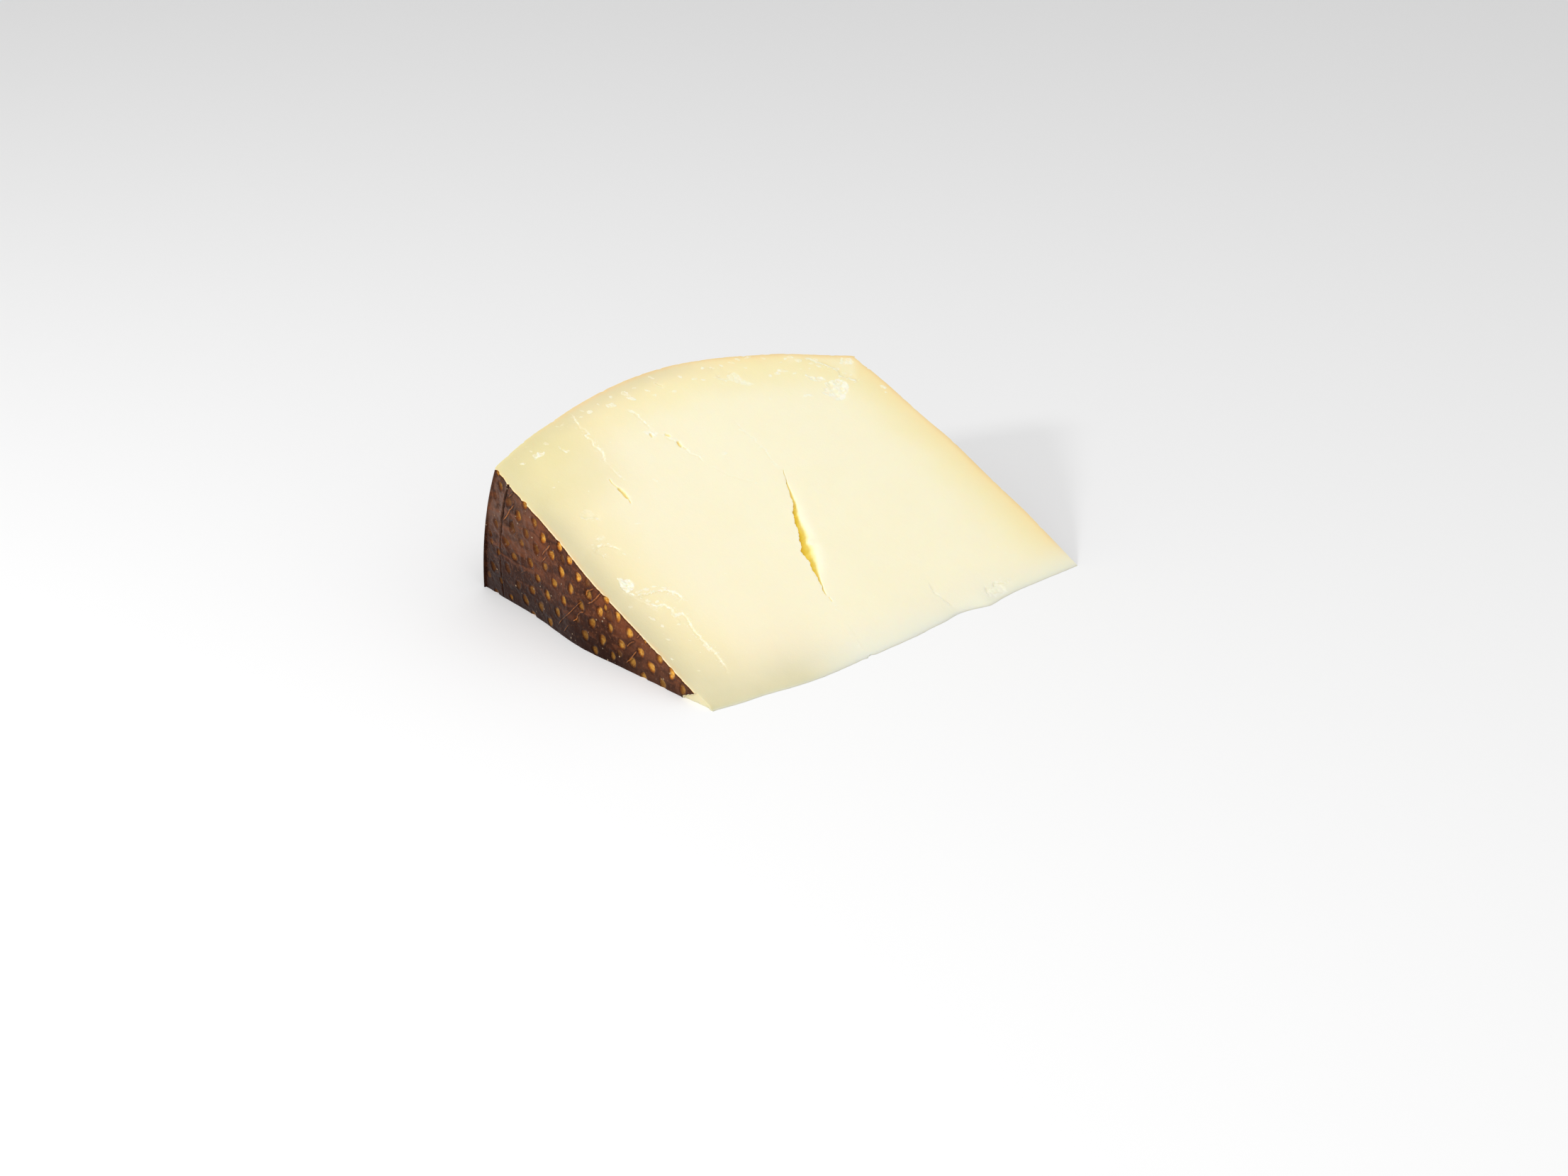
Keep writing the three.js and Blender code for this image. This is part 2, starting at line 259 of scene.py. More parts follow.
# ------------------------------------------------------------------ dimples in the rind
LEFT_DIMPLES = [  # y, z, radius, depth, tone from dark (0) to bright gold (1)
    (75.2, 32.2, 0.9, 0.30, 0.80), (74.1, 29.3, 1.1, 0.50, 0.55), (76.7, 26.2, 1.0, 0.55, 0.12), (76.3, 19.3, 1.15, 0.60, 0.35),
    (79.1, 15.9, 0.9, 0.50, 0.20), (78.7, 14.0, 0.9, 0.35, 0.28), (72.6, 16.0, 1.35, 0.65, 0.34), (70.0, 20.4, 1.45, 0.80, 0.24),
    (67.5, 24.1, 1.3, 0.70, 0.80), (64.6, 20.6, 1.25, 0.40, 0.36), (66.7, 17.7, 1.1, 0.45, 0.42), (61.0, 18.0, 1.3, 0.50, 0.26),
    (61.3, 24.5, 1.15, 0.40, 0.62), (58.3, 21.6, 1.25, 0.45, 0.88), (55.3, 18.5, 1.25, 0.45, 0.75), (51.9, 15.4, 1.3, 0.45, 0.80),
    (57.9, 14.7, 1.15, 0.30, 0.46), (54.6, 11.8, 1.2, 0.35, 0.52), (63.5, 13.9, 1.2, 0.40, 0.46), (69.6, 13.3, 1.15, 0.45, 0.46),
    (75.8, 12.3, 0.9, 0.40, 0.44), (60.8, 10.8, 1.15, 0.45, 0.52), (51.4, 8.5, 1.25, 0.40, 0.56), (57.4, 7.8, 1.25, 0.40, 0.58),
    (63.1, 7.1, 1.25, 0.40, 0.46), (53.9, 4.8, 1.2, 0.40, 0.52), (59.9, 4.1, 1.25, 0.30, 0.30), (65.7, 3.7, 1.3, 0.35, 0.40),
    (56.7, 1.3, 1.2, 0.35, 0.50), (62.8, 0.6, 1.2, 0.35, 0.48), (71.4, 2.4, 0.8, 0.45, 0.72), (75.1, 5.3, 0.8, 0.40, 0.26),
    (78.3, 7.8, 1.3, 0.50, 0.16), (72.2, 9.5, 1.3, 0.35, 0.10), (64.8, 27.7, 1.1, 0.45, 0.95), (70.9, 26.5, 1.45, 0.50, 0.24),
    (52.4, 21.5, 1.15, 0.50, 0.98), (48.9, 19.2, 1.25, 0.35, 1.00), (45.7, 16.3, 1.25, 0.30, 0.90), (48.6, 12.4, 1.3, 0.35, 0.62),
    (42.3, 13.2, 1.35, 0.45, 0.46), (38.3, 10.4, 1.25, 0.40, 0.80), (35.9, 14.1, 1.15, 0.45, 0.92), (36.2, 12.1, 0.7, 0.25, 0.60),
    (31.9, 11.5, 1.15, 0.35, 0.92), (34.7, 7.6, 1.25, 0.35, 0.55), (45.0, 9.5, 1.3, 0.30, 0.40), (41.2, 6.6, 1.35, 0.50, 0.52),
    (37.6, 3.7, 1.3, 0.45, 0.48), (43.9, 2.6, 1.3, 0.35, 0.42), (30.7, 5.0, 1.3, 0.35, 0.60), (27.8, 8.9, 1.3, 0.30, 0.80),
    (24.0, 5.6, 1.3, 0.30, 0.78), (20.3, 3.2, 1.4, 0.28, 0.74), (27.0, 2.1, 1.35, 0.35, 0.56), (34.0, 1.0, 1.0, 0.35, 0.50),
    (40.4, 0.2, 1.1, 0.30, 0.36), (23.2, -0.1, 1.1, 0.30, 0.62), (17.5, 6.3, 1.2, 0.35, 0.62), (13.5, 4.2, 1.4, 0.35, 0.95),
    (16.6, 0.5, 1.3, 0.22, 0.44), (9.8, 1.7, 1.3, 0.25, 0.40), (22.4, 8.7, 0.5, 0.20, 0.80), (39.4, 16.6, 0.7, 0.30, 0.60),
    (51.2, 18.9, 1.1, 0.12, 0.12), (42.4, 16.0, 1.2, 0.12, 0.16), (34.8, 10.9, 1.9, 0.14, 0.06), (68.3, 6.6, 1.2, 0.30, 0.12),
    (46.6, 5.6, 1.1, 0.12, 0.10), (31.4, 2.6, 1.0, 0.12, 0.10), (80.3, 5.0, 1.0, 0.30, 0.16), (77.4, 1.6, 1.0, 0.30, 0.18),
]
_yz = sighted_left([d[:2] for d in LEFT_DIMPLES])
LEFT_PITS = np.array([(*yz, *d[2:]) for yz, d in zip(_yz, LEFT_DIMPLES)])


def flat_pits():
    """Centres (y, z), radius, depth and tone of the dimples of a flat face: staggered rows with some play."""
    rng = np.random.RandomState(5)
    tilt = math.atan2(-0.75, 6.0)
    out = []
    for row in range(-14, 15):
        for k in range(-24, 25):
            jit = rng.normal(0, 0.25, 2)
            size, deep, tone = rng.uniform(1.05, 1.4), rng.uniform(0.28, 0.5), rng.uniform(0, 1)
            a = (k + row * 0.5) * 6.05
            b = -row * 3.33
            y = 48.9 + a * math.cos(tilt) - b * math.sin(tilt) + jit[0]
            z = 19.2 + a * math.sin(tilt) + b * math.cos(tilt) + jit[1]
            r = math.hypot(y, z)
            if z < -2 or r > 80.6 or y < 8 or math.atan2(z, y) > ANGLE + 2.2 / r:
                continue
            bright = np.clip(0.45 + 0.5 * tone - 0.5 * float(ease(54, 72, r)) + 0.2 * z / max(r * SA, 1) - 0.1, 0.1, 1)
            out.append((y, z, size, deep + 0.2 * float(ease(58, 72, r)), bright))
    return np.array(out)


def heel_pits():
    """The same on the heel, laid out by distance along it (s) and up it (t)."""
    rng = np.random.RandomState(9)
    out = []
    for row in range(13):
        for k in range(20):
            jit = rng.normal(0, 0.25, 2)
            size, deep, tone = rng.uniform(1.05, 1.4), rng.uniform(0.4, 0.7), rng.uniform(0, 1)
            s = 3.4 + (k + (row % 2) * 0.5) * 6.05 + jit[0]
            t = 1.4 + row * 3.33 + jit[1]
            if s < 114.5:
                out.append((s, t, size, deep, np.clip(0.2 + 0.55 * tone, 0, 1)))
    return np.array(out)


RIGHT_PITS, HEEL_PITS = flat_pits(), heel_pits()


def dimple_field(P, D):
    """Height, distance from the nearest dimple's centre in its own radii, and that dimple's tone."""
    tree = KDTree(len(D))
    for i, d in enumerate(D):
        tree.insert((d[0], d[1], 0), i)
    tree.balance()
    near = np.array([tree.find((p[0], p[1], 0))[1] for p in P])
    c = D[near]
    q = P - c[:, :2]
    q = np.column_stack([(0.96 * q[:, 0] - 0.27 * q[:, 1]) / 0.82, (0.27 * q[:, 0] + 0.96 * q[:, 1]) / 1.04])
    a = np.arctan2(q[:, 1], q[:, 0])
    size = c[:, 2] * (1 + 0.10 * np.sin(2 * a + 9 * c[:, 0]) + 0.07 * np.sin(3 * a + 5 * c[:, 1]))
    d = np.hypot(*q.T) / size
    h = -0.95 * c[:, 3] * (1 - ease(0.36, 1.12, d)) + 0.14 * c[:, 3] * bell(d, 1.30, 0.24)
    return h, np.minimum(d, 3.0), c[:, 4]


# thin raised cords and folds in the rind of the left face, as (y, z) lines with their height
SCRATCHES = [
    ([(37.4, 15.6), (38.6, 14.3), (39.6, 13.2), (40.8, 11.9), (42.3, 11.0), (42.9, 10.8)], 1.0),
    ([(40.2, 15.3), (41.3, 14.6), (42.4, 14.2), (43.1, 13.5), (43.2, 12.3)], 0.9),
    ([(44.8, 10.7), (46.0, 9.5), (47.3, 8.2), (48.8, 6.8), (50.0, 5.6), (52.2, 3.6), (54.4, 0.7)], 0.6),
    ([(44.0, 8.3), (45.2, 7.8), (46.2, 6.8), (47.0, 5.5), (48.4, 4.4)], 0.8),
    ([(24.2, 9.8), (25.4, 8.5)], 0.9),
    ([(26.0, 7.4), (26.8, 7.0), (27.9, 6.2), (28.9, 5.0)], 0.8),
    ([(25.2, 5.4), (26.3, 4.3), (27.4, 2.9), (28.4, 1.8), (29.6, 0.8)], 0.9),
    ([(55.8, 20.9), (56.4, 19.8), (57.2, 19.1), (58.2, 18.2), (59.0, 17.2)], 1.0),
    ([(56.9, 17.7), (57.9, 16.8), (59.1, 15.4)], 0.6),
    ([(68.7, 26.5), (69.8, 25.2), (70.8, 24.3), (71.8, 22.8), (72.9, 21.6), (73.4, 21.0)], 1.0),
    ([(68.9, 29.3), (70.3, 28.0), (71.4, 27.2)], 0.6),
    ([(65.2, 11.2), (66.4, 10.6), (67.4, 9.8)], 0.35),
    ([(49.8, 3.0), (50.8, 1.8), (51.8, 0.6)], 0.5),
]
SCRATCHES = [(sighted_left(l), k) for l, k in SCRATCHES]


def scratch_play(P):
    return 0.12 * np.column_stack([N3(P / 1.9), N4(P / 1.9)])


TORN = sighted_left([(-6, -6), (-6, 8), (4.6, 3.6), (5.9, 2.2), (6.5, 1.85), (7.4, 1.42), (8.0, 1.2), (8.7, 0.75), (9.3, 0.5), (9.95, 0.3), (9.8, -0.3), (9.85, -6)])


def torn(P):
    """Distance inside the patch by the thin edge where the rind has come away, negative outside it."""
    Q = P + 0.16 * np.column_stack([N1.many(P / 0.7, 2), N2.many(P / 0.7, 2)])
    d, _, _ = line_distance(Q, np.vstack([TORN, TORN[:1]]))
    return np.where(inside(Q, TORN), d, -d)


def left_relief(r, a):
    """Height and looks of the left flat face at radius r and angle a."""
    P = np.column_stack([r * np.cos(a), r * np.sin(a)])
    h, d, tone = dimple_field(P, LEFT_PITS)
    h = h * (1 - ease(81.0, 82.4, r))
    h = h + 0.09 * N1.many(P / 6.0, 3) + 0.03 * N2.many(P / 1.1, 2)
    outer = ease(60, 70, r) * ease(0.2, 0.55, a / ANGLE)
    h = h + outer * (0.17 * N4.many(P / 1.9, 2) - 0.05 * np.abs(N3.many(P / 2.6, 2)))
    line = GROOVE + 0.22 * N1(P / 9.0) + 0.05 * N2(P / 0.9)
    gap = (0.35 + 0.65 * ease(0.3, 0.6, a / ANGLE)) * (0.8 + 0.25 * N2(P / 2.0)) * (1 - 0.8 * bell(a / ANGLE, 0.40, 0.04))
    h = h - 0.5 * gap * bell(r, line, 0.18) - 0.10 * np.clip(r - line, 0, 6) + 0.10 * gap * bell(r, line + 0.45, 0.25)
    mark = np.full(len(P), 3.0)
    Pw = P + scratch_play(P)
    for s, k in SCRATCHES:
        q, _, t = line_distance(Pw, s)
        taper = ease(0, 0.1, t) * (1 - ease(0.85, 1, t))
        mark = np.minimum(mark, q + 0.12 * (1 - k) + 0.16 * (1 - taper))
        h = h + 0.09 * k * bell(q, 0, 0.12) * taper - 0.07 * k * bell(q, 0.42, 0.2) * taper
    away = torn(P)
    h = h * (1 - ease(-0.3, 0.2, away)) - 0.42 * ease(0.0, 0.25, away) * ease(0.4, 2.0, r) + 0.10 * bell(away, -0.25, 0.2)
    h = h - ease(0.2, 0.9, away) * 0.12 * np.abs(N3.many(P / 1.3, 2)) * ease(0.4, 2.0, r)
    cut = np.minimum((ANGLE - a) * r, 3)
    return h, d, tone, mark, bell(r, line, 0.2) * gap, cut


def right_relief(r, a):
    P = np.column_stack([r * np.cos(a) + 0.9, r * np.sin(a) + 1.1])
    h, d, tone = dimple_field(P, RIGHT_PITS)
    h = h * ease(7.5, 11, r) * (1 - ease(80.2, 81.4, r)) + 0.09 * N3.many(P / 6.0, 3) + 0.03 * N4.many(P / 1.1, 2)
    h = h + ease(60, 70, r) * 0.15 * N4.many(P / 1.9, 2)
    h = h * (0.35 + 0.65 * ease(0.0, 1.3, (ANGLE - a) * r))
    line = GROOVE + 0.25 * N3(P / 9.0)
    h = h - 0.5 * bell(r, line, 0.2) - 0.10 * np.clip(r - line, 0, 6)
    cut = np.minimum((ANGLE - a) * r, 3)
    return h, d + 2 * (1 - ease(7.5, 9, r)), tone, np.full(len(P), 3.0), bell(r, line, 0.24), cut


def heel_relief(s, t, length):
    P = np.column_stack([s, t])
    h, d, tone = dimple_field(P, HEEL_PITS)
    h = h * ease(1.6, 2.8, s) * (1 - ease(length - 2.8, length - 1.6, s))
    h = h + 0.11 * N4.many(P / 7.0, 3) * ease(0, 3, s) * ease(0, 3, length - s)
    h = h + (0.03 * N2.many(P / 1.2, 2) + 0.15 * N3.many(P / 1.9, 2)) * ease(0, 3, s) * ease(0, 3, length - s)
    h = h * (0.30 + 0.70 * ease(0.0, 1.3, HEEL_HEIGHT - t))
    return h, d, tone, np.full(len(P), 3.0), np.zeros(len(P)), np.minimum(HEEL_HEIGHT - t, 3)


# ------------------------------------------------------------------ marks on the upper cut face
LEDGES = [  # line, height, reach on the low side, low side (+1 left of the line's direction), whiteness, width of the white band
    ([(27.7, 90.7), (27.7, 89.5), (27.2, 87.4), (26.9, 85.6), (28.0, 84.9), (27.7, 83.7), (26.5, 83.2), (26.6, 82.2),
      (26.8, 80.9), (26.3, 79.6), (26.8, 78.1), (27.0, 76.8), (26.6, 75.7), (25.6, 74.4), (25.9, 73.3)], 0.28, 3.0, -1, 0.75, 0.5),
    ([(25.9, 72.1), (25.8, 69.2), (26.8, 67.3)], 0.12, 2.0, -1, 0.5, 0.5),
    ([(42.1, 86.9), (42.8, 85.4), (43.1, 83.3), (43.3, 81.2), (43.4, 79.6), (43.4, 78.6)], 0.2, 2.0, -1, 0.8, 0.45),
    ([(43.8, 76.9), (45.4, 76.3), (45.5, 74.8), (46.5, 73.4), (46.2, 72.2), (47.1, 69.9), (47.3, 68.5), (48.6, 67.0),
      (48.4, 64.6)], 0.2, 2.0, -1, 0.7, 0.4),
    ([(4.3, 37.3), (5.7, 35.8), (8.3, 35.3), (11.7, 35.0), (14.2, 33.7), (15.5, 32.0), (15.2, 30.6), (13.4, 29.9)], 0.42, 4.5, -1, 1.0, 0.8),
    ([(5.6, 34.4), (6.7, 32.4), (8.3, 31.2), (10.3, 30.9), (11.0, 28.8), (10.5, 27.5), (12.6, 26.9), (12.7, 25.1), (11.8, 22.0),
      (11.6, 19.1), (11.8, 16.1), (12.0, 13.8), (11.5, 10.5), (10.9, 7.9)], 0.36, 5.0, -1, 0.85, 0.6),
    ([(4.5, 50.7), (6.6, 51.9), (8.1, 51.9), (9.7, 51.3), (10.7, 49.9), (11.4, 48.7)], 0.38, 2.6, -1, 0.8, 0.4),
    ([(7.5, 53.7), (10.0, 54.5)], 0.12, 1.2, -1, 0.8, 0.3),
    ([(6.1, 49.1), (6.7, 48.3)], 0.1, 1.0, -1, 0.9, 0.3),
    ([(9.0, 61.1), (9.6, 60.2), (11.4, 59.9), (12.9, 58.6)], 0.35, 2.2, 1, 0.85, 0.4),
    ([(96.7, 85.9), (98.1, 84.9), (99.0, 83.2), (100.9, 81.7), (101.6, 80.3), (102.5, 79.2), (102.2, 78.0), (101.7, 77.1),
      (102.4, 76.3), (103.4, 75.4), (105.1, 73.6), (106.5, 74.2)], 0.3, 6.0, 1, 0.95, 0.6),
    ([(70.7, 89.3), (70.8, 87.5), (71.6, 86.1), (73.3, 86.3), (73.9, 87.3), (76.2, 88.0)], 0.3, 2.4, 1, 0.8, 0.45),
    ([(71.0, 91.9), (72.1, 90.9)], 0.2, 1.4, -1, 0.9, 0.35),
    ([(54.1, 92.1), (55.3, 90.3)], 0.28, 1.3, 1, 0.0, 0.3),
    ([(65.0, 73.9), (64.8, 70.4), (65.5, 67.0), (65.7, 62.4), (65.1, 58.6), (65.2, 56.5), (65.7, 55.6)], 0.06, 1.6, -1, 0.42, 0.5),
    ([(49.1, 62.9), (51.5, 59.0), (54.8, 55.7), (56.1, 54.2)], 0.04, 1.6, -1, 0.3, 0.4),
    ([(47.9, 16.7), (48.0, 15.3), (48.0, 14.5)], 0.1, 0.8, -1, 0.3, 0.3),
    ([(46.3, 8.6), (45.4, 4.0), (44.4, -0.6)], 0.09, 1.6, 1, 0.25, 0.35),
    ([(74.2, 11.2), (73.3, 7.8), (73.8, 4.9), (74.6, 1.8)], 0.34, 2.0, 1, 0.6, 0.3),
    ([(84.9, 0.9), (85.6, 2.7), (86.9, 4.2), (88.3, 3.4), (89.9, 4.4), (92.2, 3.5), (94.8, 3.4)], 0.5, 1.6, -1, 0.85, 0.4),
    ([(86.2, 1.2), (88.0, 2.1), (89.8, 1.3)], 0.3, 1.2, -1, 0.7, 0.3),
    ([(21.2, 88.6), (22.4, 87.9), (23.9, 88.4)], 0.1, 1.2, 1, 0.5, 0.3),
]
GASHES = [  # line, half width, depth
    ([(22.8, 68.7), (22.7, 67.4), (23.0, 66.2), (23.2, 64.9)], 0.15, 0.28),
    ([(23.1, 65.2), (23.35, 63.9), (23.2, 62.9), (23.2, 62.2)], 0.52, 0.8),
    ([(23.2, 62.2), (23.1, 61.2), (22.9, 60.4)], 0.15, 0.35),
    ([(41.9, 77.6), (41.7, 77.0)], 0.42, 0.7),
    ([(46.6, 72.9), (46.4, 71.6)], 0.46, 0.7),
    ([(46.4, 71.6), (46.8, 70.6), (47.1, 69.9)], 0.15, 0.4),
    ([(45.4, 76.1), (45.9, 75.5)], 0.36, 0.35),
    ([(54.2, 92.0), (54.8, 91.0), (55.2, 90.4)], 0.14, 0.4),
    ([(48.0, 16.9), (47.9, 15.6)], 0.12, 0.35),
]
CHIPS = [  # outline, depth, whiteness, roughness
    ([(9.7, 81.2), (10.2, 82.3), (12.0, 82.8), (13.6, 82.1), (12.9, 81.4), (10.9, 81.3)], 0.22, 0.95, 0.10),
    ([(18.1, 82.3), (18.8, 81.3), (19.6, 80.0), (18.2, 80.0), (17.9, 81.4)], 0.25, 0.9, 0.08),
    ([(9.5, 62.4), (11.5, 62.7), (12.4, 61.9), (12.2, 60.5), (10.9, 59.9), (9.1, 60.6)], 0.12, 0.22, 0.04),
    ([(5.0, 41.9), (6.0, 40.9), (7.4, 40.8), (7.7, 39.0), (6.2, 37.2), (4.2, 36.9), (4.0, 38.8)], 0.3, 1.0, 0.22),
    ([(71.6, 87.0), (73.9, 87.3), (76.2, 88.2), (76.4, 86.6), (76.5, 85.1), (78.2, 82.6), (76.3, 82.5), (75.0, 83.8), (73.8, 84.7), (73.2, 86.0)], 0.2, 0.55, 0.08),
    ([(92.9, 80.4), (94.6, 79.5), (96.9, 78.6), (97.3, 77.1), (95.5, 77.2), (94.2, 78.0), (93.4, 79.4)], 0.4, 1.0, 0.16),
    ([(93.3, 73.6), (95.5, 74.6), (95.8, 76.1), (98.2, 76.3), (100.1, 76.5), (102.0, 75.6), (101.5, 73.3), (99.7, 71.4), (97.3, 69.6),
      (95.2, 69.9), (94.2, 71.6)], 0.4, 0.92, 0.17),
    ([(40.6, 78.9), (43.0, 79.0), (43.9, 77.0), (42.5, 76.6), (41.0, 77.6)], 0.12, 0.75, 0.12),
    ([(84.9, 2.2), (86.6, 4.0), (88.4, 3.2), (89.6, 4.4), (91.8, 2.0), (91.2, 0.4), (87.0, 0.2)], 0.15, 0.6, 0.12),
    ([(104.6, 80.6), (106.4, 82.3), (108.6, 81.4), (108.9, 79.6), (106.4, 79.5)], 0.2, 0.75, 0.12),
]
DOTS = [  # x, r, radius
    (15.7, 84.4, 0.55), (10.8, 85.2, 0.3), (10.9, 83.5, 0.35), (6.5, 80.8, 0.4), (39.3, 89.5, 0.6), (38.4, 89.5, 0.5), (32.3, 89.5, 0.5),
    (50.7, 90.6, 0.5), (64.6, 89.7, 0.5), (66.6, 88.7, 0.4), (54.6, 94.1, 0.3), (44.6, 91.9, 0.7), (45.2, 89.6, 0.6), (45.3, 90.8, 0.5),
    (8.7, 71.5, 0.25), (33.2, 64.3, 0.5), (56.9, 87.9, 0.4), (51.4, 88.5, 0.3), (40.6, 92.1, 0.3), (29.1, 88.9, 0.3), (5.7, 83.0, 0.2),
    (2.6, 33.3, 0.3), (4.5, 29.0, 0.35), (5.0, 28.2, 0.35), (5.7, 25.5, 0.3), (4.1, 21.8, 0.3), (8.7, 19.6, 0.3), (13.8, 45.1, 0.25),
    (11.3, 47.3, 0.3), (9.6, 24.4, 0.3), (20.3, 54.2, 0.25), (1.4, 16.4, 0.25), (88.4, 74.4, 0.5), (89.6, 74.0, 0.5), (88.4, 84.0, 0.7),
    (86.5, 83.6, 0.6), (78.7, 76.6, 0.3), (54.9, 65.4, 0.6), (77.6, 91.2, 0.5), (79.9, 91.6, 0.5), (83.0, 91.3, 0.6), (86.8, 89.4, 0.4),
    (93.8, 87.3, 0.5), (95.0, 85.5, 0.6), (64.3, 70.3, 0.4), (92.4, 87.3, 0.4), (93.7, 82.8, 0.3), (80.0, 88.2, 0.3), (84.2, 83.7, 0.4),
    (110.2, 69.4, 0.5), (109.5, 67.6, 0.3), (47.6, 41.6, 0.3), (29.6, 33.0, 0.2), (56.1, 54.2, 0.25), (98.8, 81.9, 0.4), (97.6, 83.4, 0.35),
    (91.0, 82.0, 0.35), (103.6, 77.4, 0.4), (104.8, 76.2, 0.3), (5.0, 11.0, 0.25), (30.9, 90.4, 0.25), (36.0, 91.0, 0.25), (61.6, 91.8, 0.3),
    (9.0, 36.3, 0.5), (11.4, 36.2, 0.45), (13.3, 35.0, 0.4), (6.9, 36.4, 0.4), (14.7, 33.1, 0.35), (7.4, 33.3, 0.4), (9.3, 32.2, 0.35),
    (47.4, 15.3, 0.2), (47.9, 14.1, 0.22), (48.6, 15.6, 0.18), (47.2, 12.9, 0.16),
    (69.2, 92.2, 0.4), (74.4, 91.4, 0.35), (48.0, 92.6, 0.35), (90.2, 86.6, 0.35), (99.9, 84.4, 0.4), (96.0, 82.0, 0.25),
]
CRACK_L = [(65.6, 55.5), (64.5, 54.0), (64.0, 52.5), (62.9, 51.0), (62.2, 49.2), (61.1, 47.1), (60.3, 45.3), (59.6, 44.2), (58.0, 42.5),
           (57.3, 41.1), (56.2, 39.3), (55.6, 37.4), (54.6, 35.9), (53.5, 34.6), (53.1, 33.3), (51.4, 31.5), (51.2, 29.9), (51.3, 27.8),
           (50.6, 26.6), (50.0, 25.2), (49.7, 23.4), (49.1, 21.4), (48.9, 20.4), (48.2, 19.5), (47.8, 18.2), (47.95, 17.2)]
CRACK_R = [(65.6, 55.5), (64.5, 53.4), (63.5, 51.0), (62.7, 48.7), (62.0, 46.4), (61.1, 44.3), (59.8, 42.0), (58.6, 39.6), (58.1, 37.7),
           (57.7, 35.7), (56.9, 34.2), (56.1, 33.9), (55.5, 33.2), (55.6, 32.4), (56.3, 32.0), (56.1, 31.2), (55.3, 30.0), (54.1, 28.1),
           (52.9, 26.1), (51.3, 24.0), (50.3, 22.3), (49.4, 20.6), (48.5, 18.9), (47.95, 17.2)]

CORNER = sighted([(91.0, 84.6), (93.8, 84.4), (96.7, 85.9), (98.1, 84.9), (99.0, 83.2), (100.9, 81.7), (101.6, 80.3), (102.5, 79.2), (102.2, 78.0),
                  (101.7, 77.1), (102.4, 76.3), (103.4, 75.4), (105.1, 73.6), (106.5, 74.2), (108.6, 76.5), (110.5, 79.0), (110.0, 82.0),
                  (104.0, 84.6), (99.0, 86.6), (94.0, 88.4), (91.0, 89.0)])
LEDGES = [(sighted(l), *rest) for l, *rest in LEDGES]
GASHES = [(sighted(l), *rest) for l, *rest in GASHES]
CHIPS = [(sighted(l), *rest) for l, *rest in CHIPS]
DOTS = [(*sighted(d[:2])[0], d[2]) for d in DOTS]

STATIONS = 150
_l, _r = resample(sighted(CRACK_L), STATIONS), resample(sighted(CRACK_R), STATIONS)
_across = _r - _l
_width = np.hypot(*_across.T)
_dir = np.gradient((_l + _r) / 2, axis=0)
_dir /= np.hypot(*_dir.T)[:, None]
_side = np.column_stack([_dir[:, 1], -_dir[:, 0]])
_side *= np.sign((_side * _across).sum(1).sum())
_live = np.clip(_width / 0.8, 0, 1)[:, None]
_k = np.arange(STATIONS)[:, None] * 1.0
_l = _l + _side * (0.20 * N1(np.column_stack([_k / 3.1, _k * 0]))[:, None] + 0.20 * N2(np.column_stack([_k / 1.4, _k * 0]))[:, None]) * _live
_r = _r + _side * (0.12 * N3(np.column_stack([_k / 4.0, _k * 0]))[:, None] + 0.12 * N4(np.column_stack([_k / 1.7, _k * 0]))[:, None]) * _live
_r[0] = _l[0]
_r[-1] = _l[-1]
CRACK_LEFT, CRACK_RIGHT = _l, _r
CRACK_RING = np.vstack([_l, _r[-2:0:-1]])


STREAK = np.array([0.91, -0.41])  # the knife's way over the face


